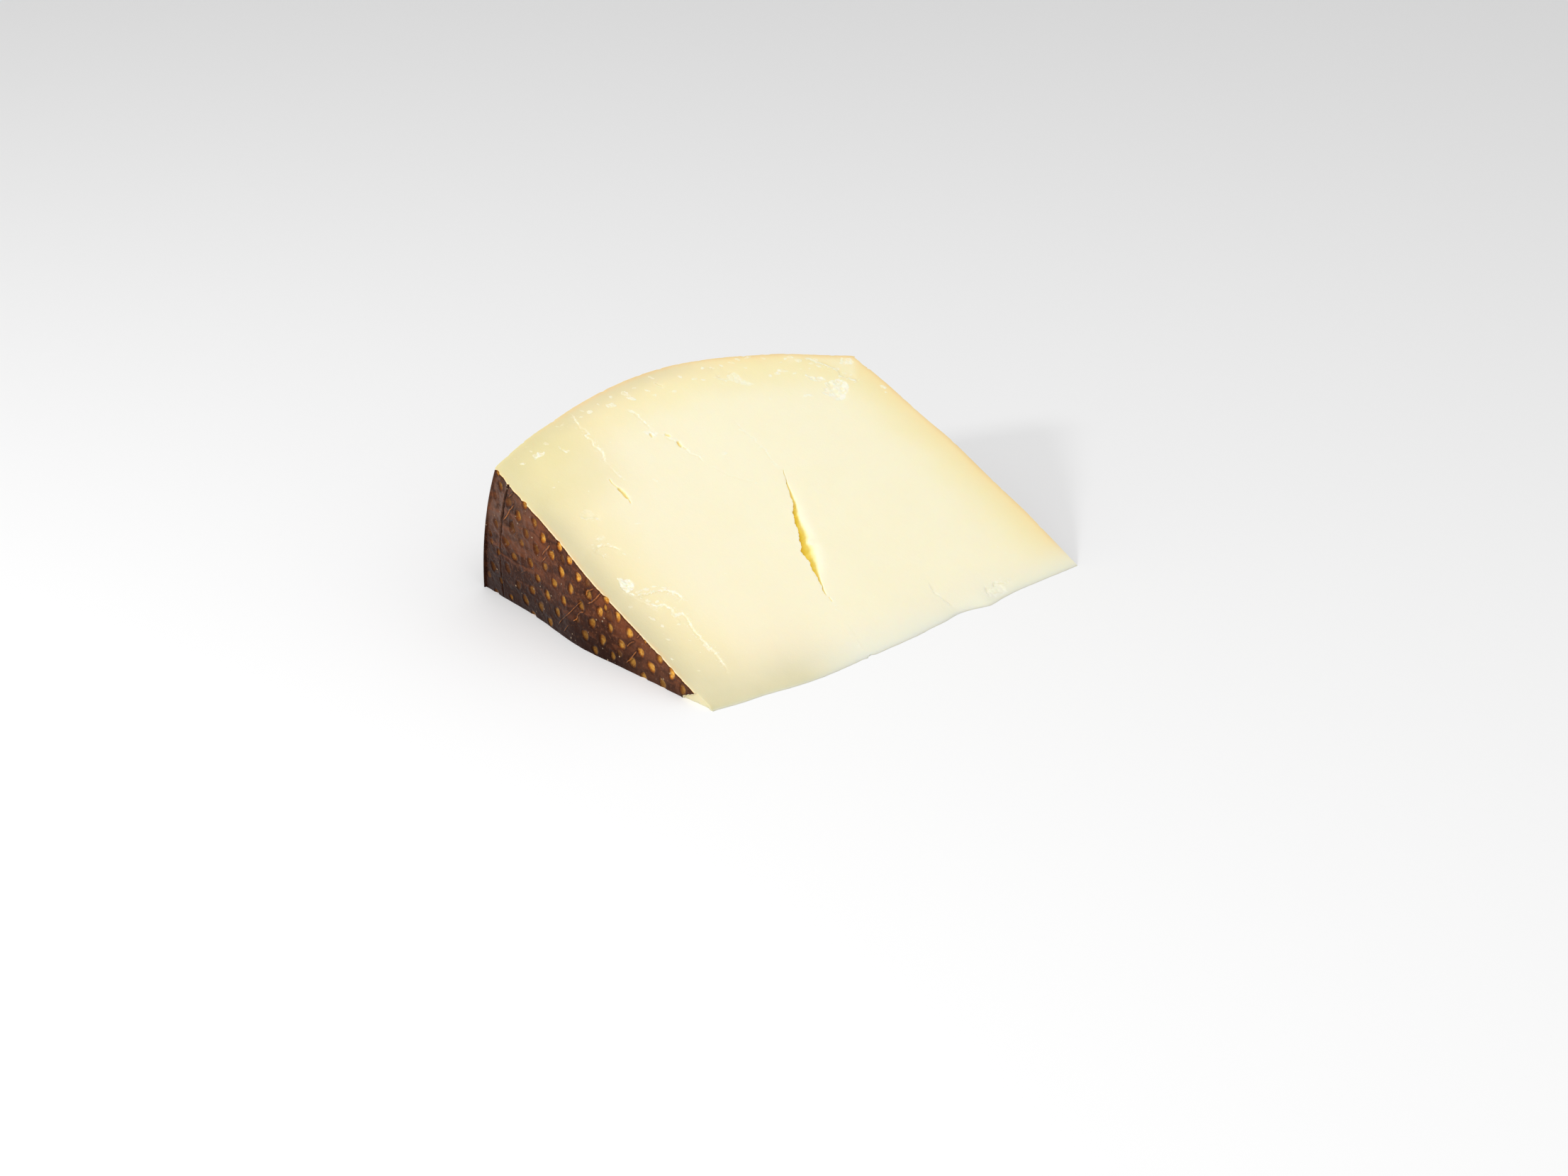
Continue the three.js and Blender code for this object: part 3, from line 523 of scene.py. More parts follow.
def face_marks(x, r):
    """Height, looks and fineness wanted, over the upper cut face."""
    P = np.column_stack([x, r])
    warp = np.column_stack([N1.many(P / 1.5, 2), N2.many(P / 1.5, 2)])
    Pw = P + 0.3 * warp
    h = 0.10 * N5.many(P / 26.0, 2) + 0.016 * N4.many(P / 5.0, 2)
    n = len(P)
    line_d, line_s, line_w = np.full(n, 4.0), np.zeros(n), np.zeros(n)
    Pw = Pw + 0.13 * np.column_stack([N3.many(P / 0.62, 2), N4.many(P / 0.62, 2)])
    chip_d, chip_w = np.full(n, -4.0), np.zeros(n)
    gold, fine, pale = np.zeros(n), np.zeros(n), np.zeros(n)
    for line, drop, reach, low, white, band in LEDGES:
        d, side, t = line_distance(Pw, line)
        ends = ease(0, 0.12, t) * (1 - ease(0.88, 1, t)) * 0.85 + 0.15
        sd = d * side * low
        h -= 0.42 * drop * ends * ease(-0.12, 0.3, sd) * np.exp(-np.maximum(sd, 0) / reach)
        new = d < line_d
        line_d[new] = d[new]
        line_s[new] = np.sign(sd[new])
        line_w[new] = (white * ends)[new]
        fine = np.maximum(fine, np.exp(-((d / 0.9) ** 2)))
    for line, half, deep in GASHES:
        d, _, _ = line_distance(P + 0.12 * warp, line)
        h -= deep * (1 - ease(0.15, 1.15, d / half))
        # painted shade: the paste is painted golden inside each gash, strongest along its middle
        gold = np.maximum(gold, 1 - ease(0.3, 1.25, d / half))
        pale = np.maximum(pale, 0.35 * bell(d, half * 1.5, 0.35))
        fine = np.maximum(fine, np.exp(-((d / 1.1) ** 2)))
    for ring, drop, white, rough in CHIPS:
        c = ring.mean(0)
        near = np.hypot(*(P - c).T) < 12
        if not near.any():
            continue
        Q = (P + 0.4 * warp)[near]
        ins = inside(Q, ring)
        d, _, _ = line_distance(Q, np.vstack([ring, ring[:1]]))
        sd = np.where(ins, d, -d)
        m = ease(-0.12, 0.2, sd)
        grain = N3.many(P[near] / 1.1, 3)
        h[near] -= m * (0.4 * drop * (0.5 + 0.5 * ease(0, 1.5, sd)) + 0.8 * rough * grain)
        k = np.flatnonzero(near)[sd > chip_d[near]]
        chip_d[k] = sd[sd > chip_d[near]]
        chip_w[k] = white
        fine[near] = np.maximum(fine[near], ease(-0.9, -0.2, sd))
    for i, (cx, cr, rad) in enumerate(DOTS):
        q = P - np.array([cx, cr])
        near = (np.abs(q) < 3).all(1)
        q = q[near]
        turn = 0.5 * math.sin(i * 2.4)
        way = np.array([STREAK[0] * math.cos(turn) - STREAK[1] * math.sin(turn), STREAK[0] * math.sin(turn) + STREAK[1] * math.cos(turn)])
        across = np.array([-way[1], way[0]])
        long = 1.15 + 0.75 * abs(math.sin(i * 1.7))
        sd = rad * 1.05 - np.hypot(q @ way / long, q @ across * (1.25 + 0.35 * math.sin(i)))
        h[near] += 0.05 * rad * ease(-0.05, 0.25, sd)
        k = np.flatnonzero(near)[sd > chip_d[near]]
        chip_d[k] = sd[sd > chip_d[near]]
        chip_w[k] = 0.5 + 0.35 * abs(math.sin(i * 3.3))
        fine[near] = np.maximum(fine[near], ease(-0.8, -0.25, sd))
    dl, _, _ = line_distance(P, CRACK_LEFT)
    dr, _, _ = line_distance(P, CRACK_RIGHT)
    wide = np.interp(P[:, 1], CRACK_LEFT[::-1, 1], _width[::-1], left=0, right=0)
    roll = np.clip(wide / 2.2, 0, 1)
    h -= roll * (0.30 * np.exp(-dr / 0.6) + 0.05 * np.exp(-dl / 0.4))
    # painted light: a pale halo beside the crack's right lip, where light falls on its slope, and a painted highlight
    # along the left lip
    pale = np.maximum(pale, 0.5 * roll * bell(dr, 0.9, 0.9))
    pale = np.maximum(pale, 0.55 * roll * bell(dl, 0.2, 0.7))
    fine = np.maximum(fine, np.exp(-((np.minimum(dl, dr) / 1.3) ** 2)))
    # the slab between the flake's edge and the corner is smooth and a little paler
    corner = inside(P + 0.3 * warp, CORNER)
    dc, _, _ = line_distance(P, np.vstack([CORNER, CORNER[:1]]))
    pale = np.maximum(pale, np.where(corner, 0.38 * ease(0, 2.6, dc), 0))
    looks = dict(line_d=line_d, line_s=line_s, line_w=line_w, chip_d=chip_d, chip_w=chip_w, gold=gold, pale=np.clip(pale, 0, 1))
    return h, looks, fine


# ------------------------------------------------------------------ building the skin
class Skin:
    """Vertices shared by all patches, with their looks, and the triangles."""

    def __init__(self):
        self.co, self.data, self.tris, self.kind = [], [], [], []
        self.n = 0

    def add(self, co, **looks):
        co = np.atleast_2d(co)
        m = len(co)
        row = np.zeros((m, len(LOOKS)))
        for k, v in REST.items():
            row[:, LOOKS.index(k)] = v
        for k, v in looks.items():
            row[:, LOOKS.index(k)] = v
        self.co.append(co)
        self.data.append(row)
        ids = np.arange(self.n, self.n + m)
        self.n += m
        return ids

    def all(self):
        return np.vstack(self.co), np.vstack(self.data)


LOOKS = ["line_d", "line_s", "line_w", "chip_d", "chip_w", "gold", "deep", "pale", "dim_d", "dim_tone", "mark", "groove", "cut", "torn"]
REST = dict(line_d=4.0, chip_d=-4.0, dim_d=3.0, mark=3.0, cut=3.0, torn=-4.0)
skin = Skin()


def fill(ids, pts2d, edges, kind, hole=None, flip=False):
    """Triangulates a patch inside its closed outline, keeping every given edge."""
    v, _, f, ov, _, _ = delaunay_2d_cdt([Vector(p) for p in pts2d], edges, [], 1, 1e-7)
    back = np.array([o[0] if len(o) else -1 for o in ov])
    assert (back >= 0).all(), "a patch's edges cross"
    f = np.array([[t[0], t[1], t[2]] for t in f])
    xy = np.array([[p[0], p[1]] for p in v])
    if hole is not None:
        mid = xy[f].mean(1)
        f = f[~inside(mid, hole)]
    a, b, c = (xy[f[:, k]] for k in range(3))
    turn = (b[:, 0] - a[:, 0]) * (c[:, 1] - a[:, 1]) - (b[:, 1] - a[:, 1]) * (c[:, 0] - a[:, 0])
    f = f[np.abs(turn) > 1e-12]
    turn = turn[np.abs(turn) > 1e-12]
    f[turn < 0] = f[turn < 0][:, ::-1]
    if flip:
        f = f[:, ::-1]
    skin.tris.append(ids[back[f]])
    skin.kind.append(np.full(len(f), kind))


def hexes(x0, x1, y0, y1, step):
    dy = step * math.sqrt(3) / 2
    ys = np.arange(y0, y1, dy)
    xs = np.arange(x0, x1, step)
    gx, gy = np.meshgrid(xs, ys)
    gx = gx + step / 2 * (np.arange(len(ys)) % 2)[:, None]
    return np.column_stack([gx.ravel(), gy.ravel()])


def clear_of(P, B, gap):
    """The points of P at least gap from every point of B."""
    tree = KDTree(len(B))
    for i, b in enumerate(B):
        tree.insert((b[0], b[1], 0), i)
    tree.balance()
    gap = np.broadcast_to(gap, len(P))
    return np.array([tree.find((p[0], p[1], 0))[2] >= g for p, g in zip(P, gap)])


def chain(ids):
    return [(int(a), int(b)) for a, b in zip(ids[:-1], ids[1:])]


# Shared edges. Each is a list of vertex numbers, in order.
def steps(length, step):
    return max(2, int(round(length / step)))


R_LEFT = [float(rim(0.0, w)) for w in (0.0, 1.0)]
R_RIGHT = [float(rim(1.0, w)) for w in (0.0, 1.0)]


def left_co(r, w):
    """Left face: positions with relief, and looks."""
    r, w = np.broadcast_arrays(np.asarray(r, float), np.asarray(w, float))
    a = w * ANGLE
    h, d, tone, mark, groove, cut = left_relief(r, a)
    x = left_x(r, w) - h * ease(0, 2.0, r)
    co = np.column_stack([x, r * np.cos(a) + bow(x, r), r * np.sin(a)])
    away = torn(np.column_stack([r * np.cos(a), r * np.sin(a)]))
    return co, dict(dim_d=d, dim_tone=tone, mark=mark, groove=groove, cut=cut, torn=away)


def right_co(r, w):
    r, w = np.broadcast_arrays(np.asarray(r, float), np.asarray(w, float))
    a = w * ANGLE
    h, d, tone, mark, groove, cut = right_relief(r, a)
    x = right_x(r, w) + h * ease(0, 2.0, r)
    co = np.column_stack([x, r * np.cos(a) + bow(x, r), r * np.sin(a)])
    return co, dict(dim_d=d, dim_tone=tone, mark=mark, groove=groove, cut=cut)


# share across the heel against distance along its profile
_u = np.concatenate([np.linspace(0, 0.012, 40)[:-1], np.linspace(0.012, 0.988, 400), np.linspace(0.988, 1, 40)[1:]])
_px = left_x(80.0, 0.5) + (right_x(80.0, 0.5) - left_x(80.0, 0.5)) * _u
_pr = rim(_u, 0.5)
_ps = np.concatenate([[0], np.cumsum(np.hypot(np.diff(_px), np.diff(_pr)))])
HEEL_LENGTH = float(_ps[-1])
HEEL_HEIGHT = 92.0 * ANGLE


def heel_co(s, t):
    s, t = np.broadcast_arrays(np.asarray(s, float), np.asarray(t, float))
    w = t / HEEL_HEIGHT
    u = np.interp(s, _ps, _u)
    r = rim(u, w)
    e = 1e-4
    ua, ub = np.clip(u - e, 0, 1), np.clip(u + e, 0, 1)
    span = right_x(80.0, w) - left_x(80.0, w)
    tx, tr = span * (ub - ua), rim(ub, w) - rim(ua, w)
    # rims: the profile turns from straight out to along the heel
    n = np.maximum(np.hypot(tx, tr), 1e-9)
    nx, nr = -tr / n, tx / n
    h, d, tone, mark, groove, cut = heel_relief(s, t, HEEL_LENGTH)
    h = h * ease(0, 0.9, s) * ease(0, 0.9, HEEL_LENGTH - s)
    x = left_x(r, w) + (right_x(r, w) - left_x(r, w)) * u + nx * h
    rr = r + nr * h
    a = w * ANGLE
    co = np.column_stack([x, rr * np.cos(a), rr * np.sin(a)])
    return co, dict(dim_d=d, dim_tone=tone, mark=mark, groove=groove, cut=cut)


def up_rows(n):
    return np.linspace(0, 1, n + 1)


# left and right flat faces: their edges to the lower and upper cut faces
n_lt = steps(R_LEFT[1], EDGE_STEP)
n_lb = steps(R_LEFT[0], 0.5)
n_rt = steps(R_RIGHT[1], EDGE_STEP)
n_rb = steps(R_RIGHT[0], 0.5)
n_up = steps(82 * ANGLE, 0.4)
n_ht = steps(HEEL_LENGTH, EDGE_STEP)
n_hb = steps(HEEL_LENGTH, 0.55)
n_f = steps(115, 0.35)


def put(co_looks):
    co, looks = co_looks
    return skin.add(co, **looks)


def arc_r(u, w):
    return np.array([float(rim(u, x)) for x in w])


def graded_edge(n, length):
    """Steps along the heel's edge, finer on the two rounded rims."""
    s = np.linspace(0, length, n + 1)
    extra = np.array([0.15, 0.45, 0.75, 1.05, 1.35])
    s = np.unique(np.round(np.concatenate([s, extra, length - extra]), 5))
    keep = np.concatenate([[True], np.diff(s) > 0.1])
    return s[keep]


tipL = put(left_co([0.0], [0.0]))
tipR = put(right_co([0.0], [0.0]))
e_lt_r = np.linspace(0, R_LEFT[1], n_lt + 1)
e_lb_r = np.linspace(0, R_LEFT[0], n_lb + 1)
e_rt_r = np.linspace(0, R_RIGHT[1], n_rt + 1)
e_rb_r = np.linspace(0, R_RIGHT[0], n_rb + 1)
cLT = put(left_co([R_LEFT[1]], [1.0]))
cLB = put(left_co([R_LEFT[0]], [0.0]))
cRT = put(right_co([R_RIGHT[1]], [1.0]))
cRB = put(right_co([R_RIGHT[0]], [0.0]))
E_LT = np.concatenate([tipL, put(left_co(e_lt_r[1:-1], 1.0)), cLT])
E_LB = np.concatenate([tipL, put(left_co(e_lb_r[1:-1], 0.0)), cLB])
E_RT = np.concatenate([tipR, put(right_co(e_rt_r[1:-1], 1.0)), cRT])
E_RB = np.concatenate([tipR, put(right_co(e_rb_r[1:-1], 0.0)), cRB])
ws = up_rows(n_up)
E_LH = np.concatenate([cLB, put(left_co(arc_r(0.0, ws[1:-1]), ws[1:-1])), cLT])
E_RH = np.concatenate([cRB, put(right_co(arc_r(1.0, ws[1:-1]), ws[1:-1])), cRT])
s_ht = graded_edge(n_ht, HEEL_LENGTH)
s_hb = graded_edge(n_hb, HEEL_LENGTH)
E_HT = np.concatenate([cLT, put(heel_co(s_ht[1:-1], HEEL_HEIGHT)), cRT])
E_HB = np.concatenate([cLB, put(heel_co(s_hb[1:-1], 0.0)), cRB])
fx = np.linspace(0, 1, n_f + 1)[1:-1]
_x0, _x1 = skin.all()[0][tipL[0], 0], skin.all()[0][tipR[0], 0]
fxx = _x0 + (_x1 - _x0) * fx
front = np.column_stack([fxx, bow(fxx, 0.0), 0 * fxx])
front[:, 1] += 0.10 * N1.many(np.column_stack([fxx / 3.0, 0 * fxx]), 2)
front[:, 1] += 0.55 * bell(fxx, 44.0, 0.7) - 0.3 * bell(fxx, 42.9, 0.6)
E_F = np.concatenate([tipL, skin.add(front), tipR])

# ---- left flat face
def face_rings(line, cuts):
    """Extra points across the crease by the heel and along the upper cut edge."""
    out = []
    for dr in line:
        a = np.linspace(0.25 / 76, ANGLE - 0.25 / 76, int(76 * ANGLE / 0.34))
        at = GROOVE + 0.22 * N1(np.column_stack([76.4 * np.cos(a), 76.4 * np.sin(a)]) / 9.0) + dr
        out.append(np.column_stack([at * np.cos(a), at * np.sin(a)]))
    for gap in cuts:
        r = np.arange(1.5, 80.6, 0.3)
        a = ANGLE - gap / r
        out.append(np.column_stack([r * np.cos(a), r * np.sin(a)]))
    return np.vstack(out)


rings = face_rings((-0.34, -0.17, 0.0, 0.17, 0.34), (0.13, 0.3))
torn_fine = hexes(4, 12, 0.05, 4, 0.15)
_a = np.arctan2(torn_fine[:, 1], torn_fine[:, 0])
torn_fine = torn_fine[(_a < ANGLE - 0.5 / 8) & (np.abs(torn(torn_fine)) < 0.5)]
torn_fine = torn_fine[clear_of(torn_fine, rings, 0.1)]
along = []
for line, _ in SCRATCHES:
    q = resample(line, max(6, int(np.hypot(*np.diff(line, axis=0).T).sum() / 0.17)))
    way = np.gradient(q, axis=0)
    way /= np.hypot(*way.T)[:, None]
    for off in (0.0, 0.13, -0.13, 0.3, -0.3):
        p = q + off * np.column_stack([-way[:, 1], way[:, 0]])
        base = p.copy()
        for _ in range(4):
            p = base - scratch_play(p)
        along.append(p)
along_all = along[0]
for p in along[1:]:
    along_all = np.vstack([along_all, p[clear_of(p, along_all, 0.1)]])
_r, _a = np.hypot(*along_all.T), np.arctan2(along_all[:, 1], along_all[:, 0])
along_all = along_all[(_a > 0.3 / _r) & (_a < ANGLE - 0.4 / _r)]
along_all = along_all[clear_of(along_all, np.vstack([rings, torn_fine]), 0.1)]
rings_left = np.vstack([rings, torn_fine, along_all])


def flat_patch(outline_ids, outline_pts, co_of, step, rings, r_max, flip):
    P = hexes(0.4, 86, 0.05, 38, step)
    r = np.hypot(*P.T)
    a = np.arctan2(P[:, 1], P[:, 0])
    ok = (a > 0) & (a < ANGLE) & (r < r_max - 0.2)
    P = P[ok]
    P = P[inside(P, outline_pts)]
    P = P[clear_of(P, outline_pts, 0.55 * step)]
    rings = rings[clear_of(rings, outline_pts, 0.08)]
    P = P[clear_of(P, rings, 0.5 * step)]
    P = np.vstack([P, rings])
    r = np.hypot(*P.T)
    w = np.arctan2(P[:, 1], P[:, 0]) / ANGLE
    ids = np.concatenate([outline_ids, put(co_of(r, w))])
    pts = np.vstack([outline_pts, P])
    n = len(outline_ids)
    edges = [(i, (i + 1) % n) for i in range(n)]
    return ids, pts, edges


def flat_outline(E_T, E_B, E_H, rt, rb, rmaxes):
    ids = np.concatenate([E_B, E_H[1:], E_T[::-1][1:-1]])
    wv = ws[1:]
    rr = rmaxes
    pts = np.vstack([
        np.column_stack([rb, 0 * rb]),
        np.column_stack([rr * np.cos(wv * ANGLE), rr * np.sin(wv * ANGLE)]),
        np.column_stack([rt[::-1][1:-1] * CA, rt[::-1][1:-1] * SA]),
    ])
    return ids, pts


ids, pts = flat_outline(E_LT, E_LB, E_LH, e_lt_r, e_lb_r, arc_r(0.0, ws[1:]))
ids, pts, edges = flat_patch(ids, pts, left_co, LEFT_STEP, rings_left, 84.4, False)
LEFT_IDS = ids
fill(ids, pts, edges, 1, flip=True)
ids, pts = flat_outline(E_RT, E_RB, E_RH, e_rt_r, e_rb_r, arc_r(1.0, ws[1:]))
ids, pts, edges = flat_patch(ids, pts, right_co, RIGHT_STEP, face_rings((-0.25, 0.0, 0.25), (0.22,)), 81.0, False)
fill(ids, pts, edges, 1, flip=False)

# ---- heel
P = hexes(0.2, HEEL_LENGTH, 0.05, HEEL_HEIGHT, HEEL_STEP)
P = P[(P[:, 0] < HEEL_LENGTH - 0.15) & (P[:, 1] < HEEL_HEIGHT - 0.15)]
bands = []
for s0 in (0.3, 0.62, 0.95, 1.3):
    t = np.linspace(0.2, HEEL_HEIGHT - 0.2, int(HEEL_HEIGHT / 0.4))
    bands.append(np.column_stack([0 * t + s0, t]))
    bands.append(np.column_stack([0 * t + HEEL_LENGTH - s0, t]))
for gap in (0.2,):
    sx = np.arange(0.4, HEEL_LENGTH - 0.4, 0.36)
    bands.append(np.column_stack([sx, 0 * sx + HEEL_HEIGHT - gap]))
bands = np.vstack(bands)
out_pts = np.vstack([
    np.column_stack([s_hb, 0 * s_hb]),
    np.column_stack([0 * ws[1:] + HEEL_LENGTH, ws[1:] * HEEL_HEIGHT]),
    np.column_stack([s_ht[::-1][1:], 0 * s_ht[1:] + HEEL_HEIGHT]),
    np.column_stack([0 * ws[1:-1], ws[::-1][1:-1] * HEEL_HEIGHT]),
])
out_ids = np.concatenate([E_HB, E_RH[1:], E_HT[::-1][1:], E_LH[::-1][1:-1]])
bands = bands[clear_of(bands, out_pts, 0.14)]
P = P[clear_of(P, np.vstack([out_pts, bands]), 0.6 * HEEL_STEP)]
P = np.vstack([P, bands])
ids = np.concatenate([out_ids, put(heel_co(P[:, 0], P[:, 1]))])
n = len(out_ids)
fill(ids, np.vstack([out_pts, P]), [(i, (i + 1) % n) for i in range(n)], 1, flip=True)

# ---- upper cut face
co_all, _ = skin.all()


def face_xy(ids):
    """Upper-face coordinates (x, r) of shared edge vertices."""
    c = co_all[ids]
    return np.column_stack([c[:, 0], c[:, 2] / SA])


out_ids = np.concatenate([E_F, E_RT[1:], E_HT[::-1][1:], E_LT[::-1][1:-1]])
# the front edge bows, so its own r is 0; the heel's upper edge keeps its relief
out_pts = face_xy(out_ids)
rh, rlooks, _ = face_marks(CRACK_RING[:, 0], CRACK_RING[:, 1])
on_left = np.arange(len(CRACK_RING)) < STATIONS
# the crack's rim: a painted highlight on both lips, and a little painted shade under the left one
ring_ids = skin.add(top_point(CRACK_RING[:, 0], CRACK_RING[:, 1], rh), pale=np.where(on_left, 0.5, 0.6), deep=np.where(on_left, 0.10, 0.0))


def within(P, gap):
    x, r = P.T
    ok = (r > gap) & (x > left_at(np.clip(r, 0, 90)) - 0.8) & (x < right_at(np.clip(r, 0, 90)) + 0.8) & (r < heel_at(x) + 0.6)
    P = P[ok]
    return P[inside(P, out_pts)]


# points close inside the left, right and heel edges, where the cut rind shows as a thin line
border_in = []
c_mid = np.array([56.0, 50.0])
for gap, step in ((0.14, 2), (0.34, 2)):
    q = out_pts[len(E_F):][::1]
    tang = np.roll(q, -1, 0) - np.roll(q, 1, 0)
    nrm = np.column_stack([-tang[:, 1], tang[:, 0]])
    nrm /= np.maximum(np.hypot(*nrm.T), 1e-9)[:, None]
    nrm *= np.sign((nrm * (c_mid - q)).sum(1))[:, None]
    border_in.append((q + nrm * gap)[3:-3])
border_in[0] = border_in[0][clear_of(border_in[0], out_pts, 0.09)]
border_in[1] = border_in[1][clear_of(border_in[1], np.vstack([out_pts, border_in[0]]), 0.13)]
border_in = np.vstack(border_in)
border_in = within(border_in, 0.3)

finest = []
for line, half, _ in GASHES:
    q = hexes(line[:, 0].min() - 0.8, line[:, 0].max() + 0.8, line[:, 1].min() - 0.8, line[:, 1].max() + 0.8, 0.13)
    finest.append(q[line_distance(q, line)[0] < half + 0.3])
finest = within(np.vstack(finest), 0.3)
finest = finest[clear_of(finest, np.vstack([out_pts, CRACK_RING]), 0.12)]
keep, tree = [], []
for i, q in enumerate(finest):
    if all(abs(q[0] - f[0]) + abs(q[1] - f[1]) > 0.12 for f in tree[-400:]):
        keep.append(i)
        tree.append(q)
finest = finest[keep]
coarse = within(hexes(-2, 117, 0.1, 97, TOP_STEP), 0.2)
coarse = coarse[face_marks(coarse[:, 0], coarse[:, 1])[2] < 0.16]
finer = within(hexes(-2, 117, 0.1, 97, TOP_FINE), 0.15)
finer = finer[face_marks(finer[:, 0], finer[:, 1])[2] >= 0.16]
border = np.vstack([out_pts, CRACK_RING, border_in, finest])
coarse = coarse[clear_of(coarse, border, 0.34)]
finer = finer[clear_of(finer, border, 0.17)]
coarse = coarse[clear_of(coarse, finer, 0.36)]
P = np.vstack([coarse, finer, border_in, finest])
P = P[~inside(P, CRACK_RING)]
h, flooks, _ = face_marks(P[:, 0], P[:, 1])
near_edge = np.minimum.reduce([P[:, 1], P[:, 0] - left_at(P[:, 1]), right_at(P[:, 1]) - P[:, 0], heel_at(P[:, 0]) - P[:, 1]])
h = h * ease(0.0, 1.4, near_edge)
top_ids = skin.add(top_point(P[:, 0], P[:, 1], h), **flooks)
ids = np.concatenate([out_ids, ring_ids, top_ids])
pts = np.vstack([out_pts, CRACK_RING, P])
n, m = len(out_ids), len(ring_ids)
edges = [(i, (i + 1) % n) for i in range(n)] + [(n + i, n + (i + 1) % m) for i in range(m)]
fill(ids, pts, edges, 0, hole=CRACK_RING, flip=False)

# ---- inside of the crack: a steep wall under the left lip, a ramp up to the right one
ring_l = ring_ids[:STATIONS]
ring_r = np.concatenate([[ring_ids[0]], ring_ids[STATIONS:][::-1], [ring_ids[STATIONS - 1]]])
co_now = np.vstack(skin.co)
L3, R3 = co_now[ring_l], co_now[ring_r]


def soften(v, n):
    k = np.hanning(n + 2)[1:-1]
    k /= k.sum()
    v = np.atleast_2d(v.T).T
    pad = np.pad(v, ((n // 2, n // 2), (0, 0)), mode="edge")
    return np.column_stack([np.convolve(pad[:, i], k, "valid") for i in range(v.shape[1])])


R3s = soften(R3, 15)
wide = np.maximum(((R3s - L3) * np.array([_side[:, 0], _side[:, 1] * CA, _side[:, 1] * SA]).T).sum(1), 0.05)
wide = soften(wide, 9)[:, 0]
depth = np.minimum(3.8, 0.25 + 1.15 * wide) * np.clip(np.minimum(np.arange(STATIONS), np.arange(STATIONS)[::-1]) / 5.0, 0, 1)
normal = np.array([0.0, -SA, CA])
sheet = [ring_l]
# painted shade: the inside of the crack is painted golden, more where it is wide, fading out up the ramp to the right
# lip
full_gold = 0.55 + 0.45 * np.clip(wide / 1.8, 0, 1)
profile = [(-0.03, 0.30), (-0.05, 0.62), (-0.02, 0.90), (0.10, 1.0)]
profile += [(c, (1 - c) ** 1.45 * 1.12) for c in (0.2, 0.3, 0.4, 0.5, 0.6, 0.68, 0.76, 0.84, 0.91, 0.965)]
for c, dd in profile:
    right = R3 * max(0, (c - 0.6) / 0.4) + R3s * (1 - max(0, (c - 0.6) / 0.4))
    P3 = L3 + (right - L3) * c - normal * (depth * dd)[:, None]
    rough = (0.20 * N2.many(P3 / 1.3, 3) + 0.09 * N3.many(P3 / 0.6, 2)) * min(1.0, 3.0 * (1 - c)) * np.clip(wide / 1.2, 0, 1)
    P3 = P3 + normal * rough[:, None]
    deep = full_gold * (1 - float(ease(0.52, 1.0, c)))
    # painted light: the ramp up to the right lip is painted paler
    pale = 0.55 * np.clip((c - 0.7) / 0.3, 0, 1)
    mid = skin.add(P3[1:-1], deep=deep[1:-1], pale=pale)
    sheet.append(np.concatenate([[ring_ids[0]], mid, [ring_ids[STATIONS - 1]]]))
sheet.append(ring_r)
tri = []
for a, b in zip(sheet[:-1], sheet[1:]):
    for k in range(STATIONS - 1):
        p, q1, r1, s1 = a[k], a[k + 1], b[k + 1], b[k]
        if len({p, q1, r1}) == 3:
            tri.append((p, q1, r1))
        if len({p, r1, s1}) == 3:
            tri.append((p, r1, s1))
tri = np.array(tri)
skin.tris.append(tri)
skin.kind.append(np.full(len(tri), 2))

# ---- lower cut face
co_all, _ = skin.all()
out_ids = np.concatenate([E_F, E_RB[1:], E_HB[::-1][1:], E_LB[::-1][1:-1]])
out_pts = co_all[out_ids][:, :2]
P = hexes(-2, 117, -4, 97, BASE_STEP)
P = P[inside(P, out_pts)]
P = P[clear_of(P, out_pts, 0.6)]
ids = np.concatenate([out_ids, skin.add(np.column_stack([P, 0 * P[:, 0]]))])
n = len(out_ids)
fill(ids, np.vstack([out_pts, P]), [(i, (i + 1) % n) for i in range(n)], 3, flip=True)

co, looks = skin.all()
tris = np.vstack(skin.tris)
kind = np.concatenate(skin.kind)
L = {k: looks[:, i] for i, k in enumerate(LOOKS)}
print("skin:", len(co), "points", len(tris), "triangles")

# ------------------------------------------------------------------ colours of the paste
x, y, z = co.T
r_of = np.hypot(y - bow_at(x) * 0, z)
w_of = np.clip(np.arctan2(z, np.maximum(y, 1e-6)) / ANGLE, 0, 1)
d_left = x - left_x(np.clip(r_of, 0, 90), w_of)
d_right = right_x(np.clip(r_of, 0, 90), w_of) - x
d_heel = heel_at(x) - r_of
d_front = np.hypot(np.maximum(y - bow_at(x), 0), z)

CREAM = srgb(255, 243, 211)
YELLOW = srgb(249, 234, 182)
LEFT_RIM = srgb(222, 212, 172)
HEEL_RIM = srgb(227, 214, 171)
TAN = srgb(236, 198, 140)
RIGHT_RIM = srgb(249, 226, 168)
FRONT = srgb(239, 237, 214)


def mix(a, b, t):
    t = np.clip(t, 0, 1)[:, None]
    return a * (1 - t) + b * t


wob = 1.2 * N5.many(co / 9.0, 2)
tone = np.tile(CREAM, (len(co), 1))
tone = mix(tone, YELLOW, 0.7 * np.exp(-((np.maximum(d_left + wob - 8, 0) / 10) ** 2)))
tone = mix(tone, YELLOW, 0.85 * np.exp(-((np.maximum(d_heel + wob - 5, 0) / 8) ** 2)))
tone = mix(tone, YELLOW, 0.8 * np.exp(-((np.maximum(d_right + wob - 4, 0) / 9) ** 2)))
